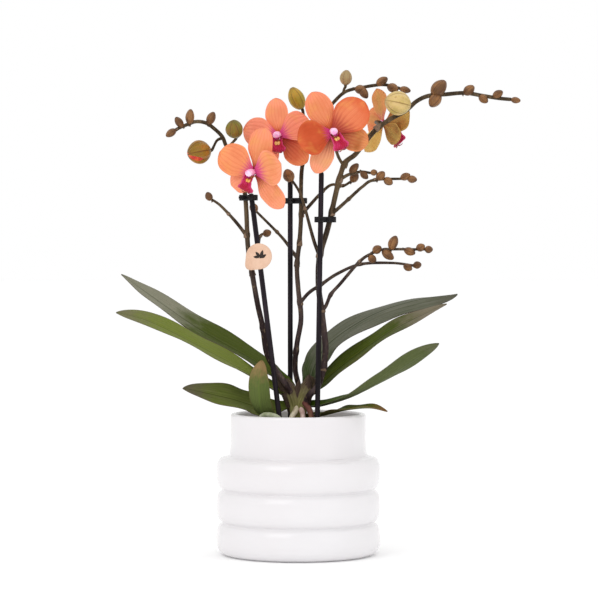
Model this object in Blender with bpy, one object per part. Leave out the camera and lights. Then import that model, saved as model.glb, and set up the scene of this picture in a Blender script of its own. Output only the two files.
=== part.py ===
"""Potted moth orchid: a ribbed white ceramic cover pot, a clear nursery pot of bark, and the plant.

Metres, +Z up, table at z = 0, pot axis on the world Z axis, front towards -Y.
Plant points are written in millimetres, the third number being the height above the bark.
"""

import math

import bmesh
import bpy
from mathutils import Matrix, Vector

MM = 0.001
GAP = 0.3

# ceramic cover pot
POT_RIM_RADIUS = 50.2
POT_WALL = 4.0
POT_FLOOR = 5.0
RING_COUNT = 3
RING_PITCH = 24.2
NECK_HEIGHT = 32.0
POT_HEIGHT = RING_COUNT * RING_PITCH + NECK_HEIGHT
RING_CREST_RADIUS = POT_RIM_RADIUS + 10.6
RING_VALLEY_RADIUS = POT_RIM_RADIUS + 4.2
RING_SQUARENESS = 2.5
NECK_BLEND = 5.0
FOOT_RADIUS = POT_RIM_RADIUS - 1.2
FOOT_ROUNDING = 3.0
POT_SEGMENTS = 36

# clear nursery pot, a loose fit in the neck of the cover pot
NURSERY_TOP_RADIUS = POT_RIM_RADIUS - POT_WALL - 1.2
NURSERY_BOTTOM_RADIUS = NURSERY_TOP_RADIUS - 12.0
NURSERY_WALL = 1.0
NURSERY_LIP = 1.4
NURSERY_BASE = POT_FLOOR + GAP
NURSERY_TOP = POT_HEIGHT - 9.6
DRAIN_RADIUS = 3.0
DRAIN_RING_RADIUS = 18.0
DRAIN_COUNT = 5

# bark
BARK_TOP = NURSERY_TOP - 5.0
BARK_LUMP = 1.8

# supports
STAKE_RADIUS = 1.9
STAKE_DEPTH = 55.0
CLIP_HEIGHT = 4.2
CLIP_WALL = 1.8
CLIP_PLAY = 0.5

# plant
CROWN_RADIUS = 8.2
LEAF_THICKNESS = 1.9
SPIKE_RADIUS = 2.3
TWIG_RADIUS = 1.4
PEDICEL_RADIUS = 1.1
ROOT_RADIUS = 2.0
PETAL_THICKNESS = 0.9
COLUMN_RADIUS = 2.2
TAG_THICKNESS = 0.9


def clear_scene():
    for item in list(bpy.data.objects):
        bpy.data.objects.remove(item, do_unlink=True)


def plant_point(x, y, height):
    return Vector((x * MM, y * MM, (height + BARK_TOP) * MM))


def plant_points(*points):
    return [plant_point(*point) for point in points]


def material(name, colour, roughness, transmission=0.0):
    made = bpy.data.materials.new(name)
    made.use_nodes = True
    shader = made.node_tree.nodes["Principled BSDF"]
    shader.inputs["Base Color"].default_value = (*colour, 1.0)
    shader.inputs["Roughness"].default_value = roughness
    shader.inputs["Transmission Weight"].default_value = transmission
    made.diffuse_color = (*colour, 1.0)
    return made


def new_object(name, mesh, look=None, smooth=True):
    if smooth:
        for face in mesh.polygons:
            face.use_smooth = True
    made = bpy.data.objects.new(name, mesh)
    bpy.context.scene.collection.objects.link(made)
    if look is not None:
        mesh.materials.append(material(name + "_surface", *look))
    return made


def mesh_from(name, vertices, faces):
    mesh = bpy.data.meshes.new(name)
    mesh.from_pydata([tuple(v) for v in vertices], [], faces)
    shape = bmesh.new()
    shape.from_mesh(mesh)
    bmesh.ops.recalc_face_normals(shape, faces=shape.faces)
    if shape.calc_volume(signed=True) < 0.0:
        bmesh.ops.reverse_faces(shape, faces=shape.faces)
    shape.to_mesh(mesh)
    shape.free()
    mesh.update()
    return mesh


# ---------------------------------------------------------------- curves

def spline_point(points, position):
    last = len(points) - 1
    index = min(int(position), last - 1)
    t = position - index
    b = points[index]
    c = points[index + 1]
    a = points[index - 1] if index > 0 else b * 2.0 - c
    d = points[index + 2] if index + 2 <= last else c * 2.0 - b
    return 0.5 * (2.0 * b + (c - a) * t + (2.0 * a - 5.0 * b + 4.0 * c - d) * t * t
                  + (3.0 * b - a - 3.0 * c + d) * t * t * t)


def smooth_path(points, count):
    """Evenly spaced points on a smooth curve through the given ones."""
    steps = (len(points) - 1) * 16
    dense = [spline_point(points, i / 16.0) for i in range(steps + 1)]
    lengths = [0.0]
    for first, second in zip(dense, dense[1:]):
        lengths.append(lengths[-1] + (second - first).length)
    path = []
    segment = 0
    for i in range(count):
        target = lengths[-1] * i / (count - 1)
        while segment < steps - 1 and lengths[segment + 1] < target:
            segment += 1
        span = lengths[segment + 1] - lengths[segment]
        path.append(dense[segment].lerp(dense[segment + 1], (target - lengths[segment]) / span))
    return path


def tangents(path):
    found = []
    for i in range(len(path)):
        before = path[max(i - 1, 0)]
        after = path[min(i + 1, len(path) - 1)]
        found.append((after - before).normalized())
    return found


def carried_frames(path):
    """Two side vectors at every point, carried along without twisting."""
    along = tangents(path)
    start = Vector((1.0, 0.0, 0.0))
    if abs(along[0].x) > 0.8:
        start = Vector((0.0, 1.0, 0.0))
    side = (start - along[0] * start.dot(along[0])).normalized()
    frames = []
    for tangent in along:
        side = (side - tangent * side.dot(tangent)).normalized()
        frames.append((side, tangent.cross(side)))
    return frames


def tube_mesh(name, path, radius_at, sides):
    """A round closed tube; radius_at gives the radius in metres for 0..1 along it."""
    vertices = []
    faces = []
    last = len(path) - 1
    for i, (point, (side, up)) in enumerate(zip(path, carried_frames(path))):
        radius = radius_at(i / last)
        for k in range(sides):
            angle = 2.0 * math.pi * k / sides
            vertices.append(point + (side * math.cos(angle) + up * math.sin(angle)) * radius)
    for i in range(last):
        for k in range(sides):
            k2 = (k + 1) % sides
            faces.append((i * sides + k, i * sides + k2, (i + 1) * sides + k2, (i + 1) * sides + k))
    faces.append(tuple(reversed(range(sides))))
    faces.append(tuple(last * sides + k for k in range(sides)))
    return mesh_from(name, vertices, faces)


def stem_radius(radius, taper, tip=0.55):
    """Slowly tapering stem, rounded off at the far end."""
    def radius_at(t):
        full = radius * (1.0 - taper * t)
        if t > 0.985:
            full *= tip
        return full * MM
    return radius_at


def egg_radius(radius):
    """Bud outline: blunt base, fullest below the middle, soft point."""
    def radius_at(t):
        s = 0.06 + 0.9 * t
        return radius * MM * math.sin(math.pi * s ** 0.86) ** 0.62
    return radius_at


# ---------------------------------------------------------------- booleans

def helper(name, mesh):
    made = new_object(name, mesh)
    made.hide_render = True
    made.display_type = "WIRE"
    return made


def combine(target, helpers, operation):
    group = bpy.data.collections.new(target.name + "_" + operation.lower())
    for item in helpers:
        group.objects.link(item)
    step = target.modifiers.new(operation.lower(), "BOOLEAN")
    step.operation = operation
    step.solver = "EXACT"
    step.operand_type = "COLLECTION"
    step.collection = group


# ---------------------------------------------------------------- lathe

def arc(centre_r, centre_z, radius, start, end, count):
    found = []
    for i in range(count + 1):
        angle = math.radians(start + (end - start) * i / count)
        found.append((centre_r + radius * math.cos(angle), centre_z + radius * math.sin(angle)))
    return found


def lathe_mesh(name, profile, segments):
    """Turn a closed outline of (radius, z) points in mm; radius 0 points close on the axis."""
    vertices = []
    rows = []
    for radius, z in profile:
        if radius < 1e-6:
            rows.append([len(vertices)])
            vertices.append(Vector((0.0, 0.0, z * MM)))
            continue
        row = []
        for k in range(segments):
            angle = 2.0 * math.pi * k / segments
            row.append(len(vertices))
            vertices.append(Vector((radius * math.cos(angle), radius * math.sin(angle), z)) * MM)
        rows.append(row)
    faces = []
    for first, second in zip(rows, rows[1:]):
        for k in range(segments):
            k2 = (k + 1) % segments
            if len(first) == 1:
                faces.append((first[0], second[k2], second[k]))
            elif len(second) == 1:
                faces.append((first[k], first[k2], second[0]))
            else:
                faces.append((first[k], first[k2], second[k2], second[k]))
    return mesh_from(name, vertices, faces)


def ring_arcs(inset, count, downwards):
    """The stacked ring outline, one full bulge per ring; the inside follows it more softly."""
    half = RING_PITCH * 0.5
    power = 2.0 if inset > 0.0 else RING_SQUARENESS
    points = []
    for ring in range(RING_COUNT):
        middle = half + ring * RING_PITCH
        low = -26.0 if ring == 0 and inset > 0.0 else -76.0
        high = 46.0 if ring == RING_COUNT - 1 and inset > 0.0 else 76.0
        for k in range(count + 1):
            angle = math.radians(low + (high - low) * k / count)
            start = RING_VALLEY_RADIUS
            if ring == 0 and angle < 0.0 and inset == 0.0:
                start = FOOT_RADIUS + 1.0
            swell = math.cos(angle) ** (2.0 / power)
            climb = math.copysign(abs(math.sin(angle)) ** (2.0 / power), angle)
            points.append((start + (RING_CREST_RADIUS - start) * swell - inset, middle + half * climb))
    if downwards:
        points.reverse()
    return points


def pot_outline():
    shoulder = RING_COUNT * RING_PITCH
    neck_start = shoulder + NECK_BLEND + 2.0
    lip = POT_WALL * 0.5
    inner = POT_RIM_RADIUS - POT_WALL
    outline = [(0.0, 0.0), (FOOT_RADIUS, 0.0), (FOOT_RADIUS + FOOT_ROUNDING, 0.12)]
    outline += ring_arcs(0.0, 7, False)
    outline += [(POT_RIM_RADIUS + 2.2, shoulder + 2.6), (POT_RIM_RADIUS + 0.6, neck_start)]
    outline += [(POT_RIM_RADIUS, POT_HEIGHT - lip * 2.4)]
    outline += arc(POT_RIM_RADIUS - lip, POT_HEIGHT - lip, lip, 0.0, 180.0, 4)
    outline += [(inner, neck_start - 1.0), (inner + 2.0, shoulder - 1.5)]
    outline += ring_arcs(POT_WALL, 3, True)
    outline += [(POT_RIM_RADIUS - 3.0, POT_FLOOR), (0.0, POT_FLOOR)]
    return outline


def nursery_outline():
    low = NURSERY_BOTTOM_RADIUS
    high = NURSERY_TOP_RADIUS
    lip_low = NURSERY_TOP - 2.5
    wall = NURSERY_WALL
    body = high - NURSERY_LIP
    outline = [(0.0, NURSERY_BASE), (low - 1.5, NURSERY_BASE), (low, NURSERY_BASE + 1.5)]
    outline += [(body, lip_low), (high, lip_low + 0.4), (high, NURSERY_TOP)]
    outline += [(body - wall, NURSERY_TOP), (body - wall, lip_low - 0.5)]
    outline += [(low - wall, NURSERY_BASE + 2.2), (low - 2.2, NURSERY_BASE + wall)]
    outline += [(0.0, NURSERY_BASE + wall)]
    return outline


def build_pots():
    new_object("pot", lathe_mesh("pot", pot_outline(), POT_SEGMENTS), ((0.9, 0.9, 0.89), 0.12))
    nursery = new_object("nursery_pot", lathe_mesh("nursery_pot", nursery_outline(), 32),
                         ((0.85, 0.88, 0.86), 0.2, 0.8))
    drains = []
    for k in range(DRAIN_COUNT):
        angle = 2.0 * math.pi * k / DRAIN_COUNT
        x = DRAIN_RING_RADIUS * math.cos(angle) * MM
        y = DRAIN_RING_RADIUS * math.sin(angle) * MM
        bottom = Vector((x, y, (NURSERY_BASE - 2.0) * MM))
        top = Vector((x, y, (NURSERY_BASE + 4.0) * MM))
        cut = tube_mesh("drain", [bottom, bottom.lerp(top, 0.5), top], lambda t: DRAIN_RADIUS * MM, 10)
        drains.append(helper("drain_%d" % k, cut))
    combine(nursery, drains, "DIFFERENCE")


# ---------------------------------------------------------------- bark and what is set in it

def bark_mesh():
    """A tapered plug with a lumpy top."""
    segments = 28
    inside_top = NURSERY_TOP_RADIUS - NURSERY_LIP - NURSERY_WALL - GAP
    inside_low = NURSERY_BOTTOM_RADIUS - NURSERY_WALL - GAP
    base = NURSERY_BASE + NURSERY_WALL + GAP
    slope = (inside_top - inside_low) / (NURSERY_TOP - NURSERY_BASE)
    vertices = [Vector((0.0, 0.0, base * MM))]
    rings = [(inside_low - 2.0, base, 0.0), (inside_low, base + 2.5, 0.0)]
    rings += [(inside_low + slope * (BARK_TOP - base) - 0.7, BARK_TOP - 2.0, 0.0)]
    for share in (0.94, 0.78, 0.6, 0.42, 0.22):
        rings.append((inside_top * share, BARK_TOP, BARK_LUMP))
    for radius, z, lump in rings:
        for k in range(segments):
            angle = 2.0 * math.pi * k / segments
            x = radius * math.cos(angle)
            y = radius * math.sin(angle)
            rise = lump * math.sin(x * 0.41 + 1.3) * math.cos(y * 0.37 - 0.6)
            vertices.append(Vector((x, y, z + rise)) * MM)
    vertices.append(Vector((0.0, 0.0, BARK_TOP * MM)))
    faces = []
    for k in range(segments):
        k2 = (k + 1) % segments
        faces.append((0, 1 + k2, 1 + k))
        for ring in range(len(rings) - 1):
            low = 1 + ring * segments
            faces.append((low + k, low + k2, low + segments + k2, low + segments + k))
        top = 1 + (len(rings) - 1) * segments
        faces.append((top + k, top + k2, len(vertices) - 1))
    return mesh_from("bark_mix", vertices, faces)


def crown_path():
    return smooth_path(plant_points((1, -2, -8), (0.6, -2, 8), (0.2, -1, 20), (0, 0, 29), (0, 1, 37)), 9)


def crown_radius(grow=0.0):
    """Slim where it leaves the roots, swelling to where the upper leaves clasp it."""
    def radius_at(t):
        swell = math.exp(-((t - 0.8) / 0.22) ** 2)
        close = max(t - 0.8, 0.0) * 2.6
        return (CROWN_RADIUS * (0.62 + 0.38 * swell - close) + grow) * MM
    return radius_at


def by_crown(bearing, gap):
    """A place in plan at this bearing, this far outside the crown's fullest girth."""
    reach, angle = CROWN_RADIUS + gap, math.radians(bearing)
    return reach * math.cos(angle), reach * math.sin(angle)


ROOTS = {
    "root_front": ((*by_crown(-102.3, 1.2), 17), (-5, -12, 12), (-6.5, -14, 4), (-7, -14.5, -5)),
    "root_arch": ((-8, -31, -5), (-10, -33, 8), (-17, -35, 14.5), (-25, -30, 15), (-29, -24.5, 9), (-29.5, -23, -5)),
    "root_right": ((*by_crown(-73.3, 2.2), 16), (3.4, -13, 11), (2.6, -15, 4), (2, -15.5, -5)),
    "root_bract": ((*by_crown(-56.9, 2.8), 21), (8.6, -12.8, 17), (10, -15, 9), (10, -15.5, -5)),
}


def root_radius(grow=0.0):
    return lambda t: (ROOT_RADIUS * (0.92 if t < 0.02 or t > 0.98 else 1.0) + grow) * MM


STAKES = {
    "stake_left": ((-14, -21, 14), (-34.6, -20, 177)),
    "stake_middle": ((-6, 16, 15), (-6, 4, 193)),
    "stake_right": ((14, -22, 16), (17, -8, 193)),
}


def stake_path(name):
    low = plant_point(*STAKES[name][0])
    top = plant_point(*STAKES[name][1])
    direction = (top - low) / (top.z - low.z)
    foot = low + direction * ((BARK_TOP - STAKE_DEPTH) * MM - low.z)
    return [foot, foot.lerp(top, 0.5), foot.lerp(top, 0.99), top]


def stake_radius(grow=0.0):
    return lambda t: (STAKE_RADIUS * (0.6 if t > 0.999 and grow == 0.0 else 1.0) + grow) * MM


def longer(path, both_ends):
    """The same path drawn out by the gap at its start, or at both ends."""
    made = [path[0] + (path[0] - path[1]).normalized() * GAP * MM] + path[1:]
    if both_ends:
        made[-1] = path[-1] + (path[-1] - path[-2]).normalized() * GAP * MM
    return made


def build_base():
    bark = new_object("bark_mix", bark_mesh(), ((0.16, 0.075, 0.035), 0.9), smooth=False)
    cutters = [helper("crown_seat", tube_mesh("seat", longer(crown_path(), False), crown_radius(GAP), 14))]
    new_object("crown", tube_mesh("crown", crown_path(), crown_radius(), 14), ((0.2, 0.24, 0.05), 0.5))
    for name, points in ROOTS.items():
        path = smooth_path(plant_points(*points), 8)
        new_object(name, tube_mesh(name, path, root_radius(), 8), ((0.55, 0.5, 0.36), 0.6))
        both = path[-1].z < BARK_TOP * MM and path[0].z < BARK_TOP * MM
        seat = longer(path, both)
        if path[-1].z < path[0].z and not both:
            seat = list(reversed(longer(list(reversed(path)), False)))
        cutters.append(helper(name + "_seat", tube_mesh(name, seat, root_radius(GAP), 8)))
    for name in STAKES:
        path = stake_path(name)
        new_object(name, tube_mesh(name, path, stake_radius(), 10), ((0.02, 0.016, 0.02), 0.3))
        cutters.append(helper(name + "_seat", tube_mesh(name, longer(path, False), stake_radius(GAP), 10)))
    combine(bark, cutters, "DIFFERENCE")


# ---------------------------------------------------------------- leaves and other blades

def blade_mesh(name, rows):
    """Close a grid of (point, normal, half thickness) into a thick blade."""
    across = len(rows[0])
    count = len(rows)
    vertices = []
    for sign in (1.0, -1.0):
        for row in rows:
            for point, normal, half in row:
                vertices.append(point + normal * half * sign)
    under = count * across
    faces = []
    for i in range(count - 1):
        for j in range(across - 1):
            a = i * across + j
            faces.append((a, a + 1, a + across + 1, a + across))
            b = a + under
            faces.append((b + across, b + across + 1, b + 1, b))
    for i in range(count - 1):
        for j in (0, across - 1):
            a = i * across + j
            faces.append((a, a + across, a + across + under, a + under))
    for i in (0, count - 1):
        for j in range(across - 1):
            a = i * across + j
            faces.append((a, a + 1, a + 1 + under, a + under))
    return mesh_from(name, vertices, faces)


def leaf_outline(t):
    """Half width along a leaf, 0..1: a narrow clasping base, full middle, blunt tip."""
    if t < 0.5:
        s = t / 0.5
        return 0.3 + 0.7 * math.sin(0.5 * math.pi * s) ** 1.15
    s = (t - 0.5) / 0.5
    return max((1.0 - s ** 2.6) ** 0.8, 0.07)


def leaf_rows(points, half_width, fold_base, fold_tip, tilt_base, tilt_tip, count=10, across=4):
    """Blade along a midrib; tilt leans its upper face to the front, fold lifts both edges."""
    path = smooth_path(plant_points(*points), count + 1)
    rows = []
    last_side = Vector((0.0, -1.0, 0.0))
    for i, (point, tangent) in enumerate(zip(path, tangents(path))):
        t = i / count
        side = tangent.cross(Vector((0.0, 0.0, 1.0))).normalized()
        if side.dot(last_side) < 0.0:
            side = -side
        last_side = side
        up = side.cross(tangent)
        if up.z < 0.0:
            up = -up
        tilt = math.radians(tilt_base + (tilt_tip - tilt_base) * t)
        level_up = up * math.cos(tilt) + side * math.sin(tilt)
        level_side = side * math.cos(tilt) - up * math.sin(tilt)
        rise = math.radians(fold_base + (fold_tip - fold_base) * t)
        half = half_width * leaf_outline(t) * MM
        row = []
        for j in range(across + 1):
            v = 2.0 * j / across - 1.0
            flank = level_side * math.cos(rise) * v + level_up * math.sin(rise) * abs(v)
            thin = 0.5 * LEAF_THICKNESS * MM * (1.0 - 0.55 * abs(v)) * (1.0 - 0.4 * t)
            row.append((point + flank * half, level_up, thin))
        rows.append(row)
    return rows


# points along the midrib, half width, fold at base and tip, tilt to the front at base and tip
LEAVES = {
    "leaf_back_left": (((*by_crown(161.6, 1.3), 35), (-19, 8, 42), (-34, 16.5, 53), (-74, 32, 75), (-114, 43, 102),
                        (-134, 46, 117)), 15.2, 18, 8, 8, 14),
    "leaf_left": (((*by_crown(180.0, 1.2), 27), (-19, -2, 33), (-34, -6, 42.5), (-71, -16, 63.5), (-108, -25, 82.5),
                   (-133, -28, 90)), 18.0, 14, 8, 20, 20),
    "leaf_low_left": (((*by_crown(180.0, -1.2), 18.5), (-16, 1.5, 17), (-26, 0, 17.5), (-37, -3, 21), (-52, -9, 26),
                       (-85, -17, 34)), 14.0, 18, 10, 24, 20),
    "leaf_front": (((*by_crown(-152.2, 0.4), 8), (-14, -8, 8), (-22, -15, 11.5), (-27.0, -24, 19), (-28.5, -32, 30),
                    (-28.5, -39, 42), (-26.5, -46, 56)), 8.3, 24, 16, 0, 0),
    "leaf_back_right": (((*by_crown(29.1, 2.1), 38), (13, 10, 50), (24, 17, 66), (55, 27, 86), (88, 34, 97),
                         (120, 37, 102)), 18.0, 16, -20, 10, 16),
    "leaf_right": (((*by_crown(17.0, 2.0), 29), (18, 3, 36), (35, 0, 51), (69, -9, 75.5), (109, -15, 96)), 16.0, 14, 6, 34, 14),
    "leaf_twisted_right": (((*by_crown(-18.8, 1.1), 20), (17, -8, 21), (39, -22, 28.5), (60, -30, 40), (81, -37, 55),
                            (102, -42, 68)), 13.5, 12, 6, 26, -36),
    "leaf_low_right": (((*by_crown(-26.6, 0.7), 13), (18, -9, 14), (34, -22, 18.5), (52, -29, 20.5), (65, -32, 18)),
                       7.5, 16, 16, 6, 8),
}

LEAF_COLOURS = ((0.05, 0.11, 0.045), (0.1, 0.19, 0.05), (0.08, 0.16, 0.05), (0.1, 0.17, 0.05),
                (0.09, 0.14, 0.08), (0.07, 0.15, 0.05), (0.08, 0.16, 0.05), (0.16, 0.15, 0.06))


def build_leaves():
    for (name, shape), colour in zip(LEAVES.items(), LEAF_COLOURS):
        new_object(name, blade_mesh(name, leaf_rows(*shape)), (colour, 0.35))


# ---------------------------------------------------------------- flower spikes

SPIKES = {
    "spike_left": ((*by_crown(-134.0, 3.6), 35), (-13, -8.8, 42), (-18, -9, 49), (-23.5, -10, 61), (-26, -11, 78),
                   (-30, -12, 96), (-34, -14, 119), (-37, -15, 138), (-38, -15, 161), (-39, -14, 175),
                   (-41, -12, 187), (-46, -9, 200), (-53, -8, 212), (-56, -8, 219), (-62, -9, 225),
                   (-68, -10, 229), (-75, -11, 230), (-81, -12, 228), (-88, -13, 225), (-92, -14, 222)),
    "spike_middle": ((*by_crown(87.7, 4.2), 33), (-2.4, 6, 48), (-1, 2, 66), (2, 2, 85), (0, 2, 106), (-1, 2, 124),
                     (1, 1, 143), (2, 0, 161), (2, 0, 180), (3, 2, 198), (8, 8, 216), (15, 11, 232),
                     (26, 11, 245), (35, 9, 253), (47, 7, 256), (62, 5, 258), (72, 3, 256), (78, 2, 254)),
    "spike_right": ((*by_crown(-50.2, 5.1), 29), (13.5, -10.6, 34), (17, -11, 43), (20, -11, 60), (19, -10, 75),
                    (17, -9, 92), (15, -8, 108), (15, -7, 125), (17, -6.5, 136), (21, -7.5, 149),
                    (24, -9, 161), (29, -11, 183), (34, -12, 199), (42, -11, 206), (50, -11, 216),
                    (58, -11, 225), (68, -11, 232), (79, -10, 238), (87, -10, 245), (96, -10, 249),
                    (108, -10, 250), (122, -11, 251), (135, -12, 249), (147, -13, 247), (157, -14, 246)),
}

TWIGS = {
    "spike_left": (
        ((-38, -15, 146), (-44, -16, 154), (-51, -17, 162), (-58, -18, 169), (-64, -18, 173)),
        ((-35, -14, 130), (-30, -11, 138), (-28, -10, 146), (-24, -10, 148)),
    ),
    "spike_middle": (
        ((1, 2, 96), (8, 3, 104), (17, 4, 110), (29, 4, 118), (46, 2, 125), (69, 0, 126), (86, -1, 124)),
        ((-1, 1, 124), (-0.4, 8, 128), (-3.5, 14, 133), (-9, 15, 141), (-16, 12, 149), (-32, 4, 165)),
        ((2, 0, 161), (7, 3, 167), (18, 6, 179), (25, 6, 184), (33, 2, 183), (40, -1, 187)),
    ),
    "spike_right": (
        ((16, -9, 90), (20, -11, 94), (24, -12, 103), (31, -12, 111), (45, -10, 127), (54, -10, 133),
         (64, -10, 136), (94, -10, 136)),
        ((15.5, -7, 131), (11, -8, 144), (5, -9, 166), (1, -9, 178), (-6, -8, 189)),
        ((24, -9, 162), (28, -12, 165), (37, -14, 173), (47, -15, 182), (56, -16, 187), (81, -16, 188)),
        ((30, -11, 187), (37, -13, 191), (46, -14, 193), (54, -15, 192)),
    ),
}

# small buds grown on a spike: foot on the stem, tip, radius
SMALL_BUDS = {
    "spike_left": (
        ((-64, -18, 172), (-67, -18, 178), 2.6),
        ((-26, -10, 147), (-20, -11, 149), 2.7),
        ((-80, -12, 228), (-79, -13, 239), 3.1),
        ((-66, -10, 228), (-62, -11, 237), 3.1),
        ((-85, -13, 226), (-90, -15, 233), 2.7),
        ((-90, -14, 224), (-97, -15, 219), 2.6),
    ),
    "spike_middle": (
        ((78, -1, 124.5), (84, -2, 121), 2.6),
        ((85, -1, 124), (91, -2, 125), 2.6),
        ((-31, 4, 164), (-35, 3, 170), 3.0),
        ((39, -1, 186), (44, -2, 192), 3.0),
        ((42, 7, 255), (50, 5, 254), 3.2),
        ((46, 7, 256), (51, 3, 248), 3.0),
        ((58, 5, 258), (66, 4, 263), 3.0),
        ((66, 4, 257), (74, 2, 254), 3.2),
        ((75, 2, 255), (83, 1, 253), 2.4),
    ),
    "spike_right": (
        ((87, -10, 136), (93, -11, 139), 2.8),
        ((93, -10, 136), (99, -11, 136), 2.6),
        ((55, -10, 134), (61, -11, 138), 3.0),
        ((52, -10, 131), (57, -12, 127), 2.8),
        ((68, -10, 136), (72, -11, 146), 3.4),
        ((62, -10, 135), (70, -12, 129), 3.0),
        ((78, -10, 136), (86, -11, 133), 2.8),
        ((-5, -8, 186), (-9, -8, 195), 4.0),
        ((58, -16, 187), (63, -17, 193), 3.0),
        ((63, -16, 188), (69, -17, 184), 2.8),
        ((75, -16, 188), (82, -17, 191), 2.6),
        ((80, -16, 188), (87, -17, 187), 2.6),
        ((38, -13, 192), (44, -13, 199), 2.7),
        ((46, -14, 193), (51, -15, 188), 2.4),
        ((53, -15, 192), (58, -15, 193), 2.2),
        ((99, -10, 249), (108, -10, 260), 5.0),
        ((104, -10, 250), (97, -12, 241), 4.2),
        ((122, -11, 250), (129, -12, 256), 3.4),
        ((133, -12, 249), (139, -13, 244), 2.8),
        ((143, -13, 248), (150, -14, 252), 2.8),
        ((156, -14, 246), (163, -15, 245), 2.2),
    ),
}

# large buds, each its own piece: foot, tip, radius, stalk start on its spike
LARGE_BUDS = {
    "bud_opening": ((-65, -10, 209), (-81, -16, 206), 8.8, ((-56, -8, 218), (-60, -9, 216)), "spike_left"),
    "bud_left": ((-46, -16, 218), (-47, -25, 231), 6.4, ((-53, -8, 211), (-50, -11, 213)), "spike_left"),
    "bud_middle": ((0, 10, 240), (-2, 8, 257), 5.6, ((10, 9, 221), (4, 11, 231)), "spike_middle"),
    "bud_top": ((35, 9, 258), (36, 8, 269), 4.6, ((33, 9, 251), (34, 9.5, 255)), "spike_middle"),
    "bud_right": ((71, -22, 234), (74, -25, 252), 9.3, ((66, -11, 231), (69, -16, 231)), "spike_right"),
}

BUD_COLOURS = ((0.3, 0.13, 0.04), (0.25, 0.24, 0.05), (0.35, 0.34, 0.08), (0.32, 0.27, 0.08), (0.45, 0.36, 0.1))


def bud_mesh(name, foot, tip, radius, sides=9, rings=8):
    start = plant_point(*foot)
    end = plant_point(*tip)
    path = [start.lerp(end, 0.5 - 0.5 * math.cos(math.pi * i / rings)) for i in range(rings + 1)]
    return tube_mesh(name, path, lambda t: egg_radius(radius)(0.5 - 0.5 * math.cos(math.pi * t)), sides)


SPIKE_GIRTH = {"spike_left": 1.0, "spike_middle": 0.9, "spike_right": 1.08}


def spike_radius(name, grow=0.0):
    full = SPIKE_RADIUS * SPIKE_GIRTH[name]
    return lambda t: (full * (1.0 - 0.45 * t) * (0.6 if t > 0.99 else 1.0) + grow) * MM


def spike_path(name):
    points = plant_points(*SPIKES[name])
    return smooth_path(points, len(points) + 6)


def build_spikes():
    for name in SPIKES:
        body = tube_mesh(name, spike_path(name), spike_radius(name), 7)
        spike = new_object(name, body, ((0.11, 0.1, 0.035), 0.4))
        parts = []
        for k, points in enumerate(TWIGS[name]):
            path = smooth_path(plant_points(*points), len(points) + 3)
            twig = tube_mesh("twig", path, stem_radius(TWIG_RADIUS, 0.35), 6)
            parts.append(helper("%s_twig_%d" % (name, k), twig))
        for k, (foot, tip, radius) in enumerate(SMALL_BUDS[name]):
            parts.append(helper("%s_bud_%d" % (name, k), bud_mesh("bud", foot, tip, radius, 6, 5)))
        for bud, (foot, tip, radius, stalk, owner) in LARGE_BUDS.items():
            if owner == name:
                away = (plant_point(*foot) - plant_point(*tip)).normalized()
                end = plant_point(*foot) + away * (GAP + 0.2) * MM
                path = smooth_path(plant_points(*stalk) + [end + away * 2.0 * MM, end], 6)
                stalk_mesh = tube_mesh("stalk", path, lambda t: PEDICEL_RADIUS * MM, 6)
                parts.append(helper(bud + "_stalk", stalk_mesh))
        for flower, shape in FLOWERS.items():
            if shape["spike"] == name:
                back = flower_point(shape, 0.0, 0.0, -COLUMN_RADIUS - 1.2 - GAP - 0.2)
                behind = flower_point(shape, 0.0, 0.0, -8.0)
                path = smooth_path(plant_points(*shape["stalk"]) + [behind, back], 7)
                stalk_mesh = tube_mesh("stalk", path, lambda t: PEDICEL_RADIUS * MM, 6)
                parts.append(helper(flower + "_stalk", stalk_mesh))
        combine(spike, parts, "UNION")
    for (name, (foot, tip, radius, stalk, owner)), colour in zip(LARGE_BUDS.items(), BUD_COLOURS):
        new_object(name, bud_mesh(name, foot, tip, radius, 10, 8), (colour, 0.45))


# ---------------------------------------------------------------- flowers

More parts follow.
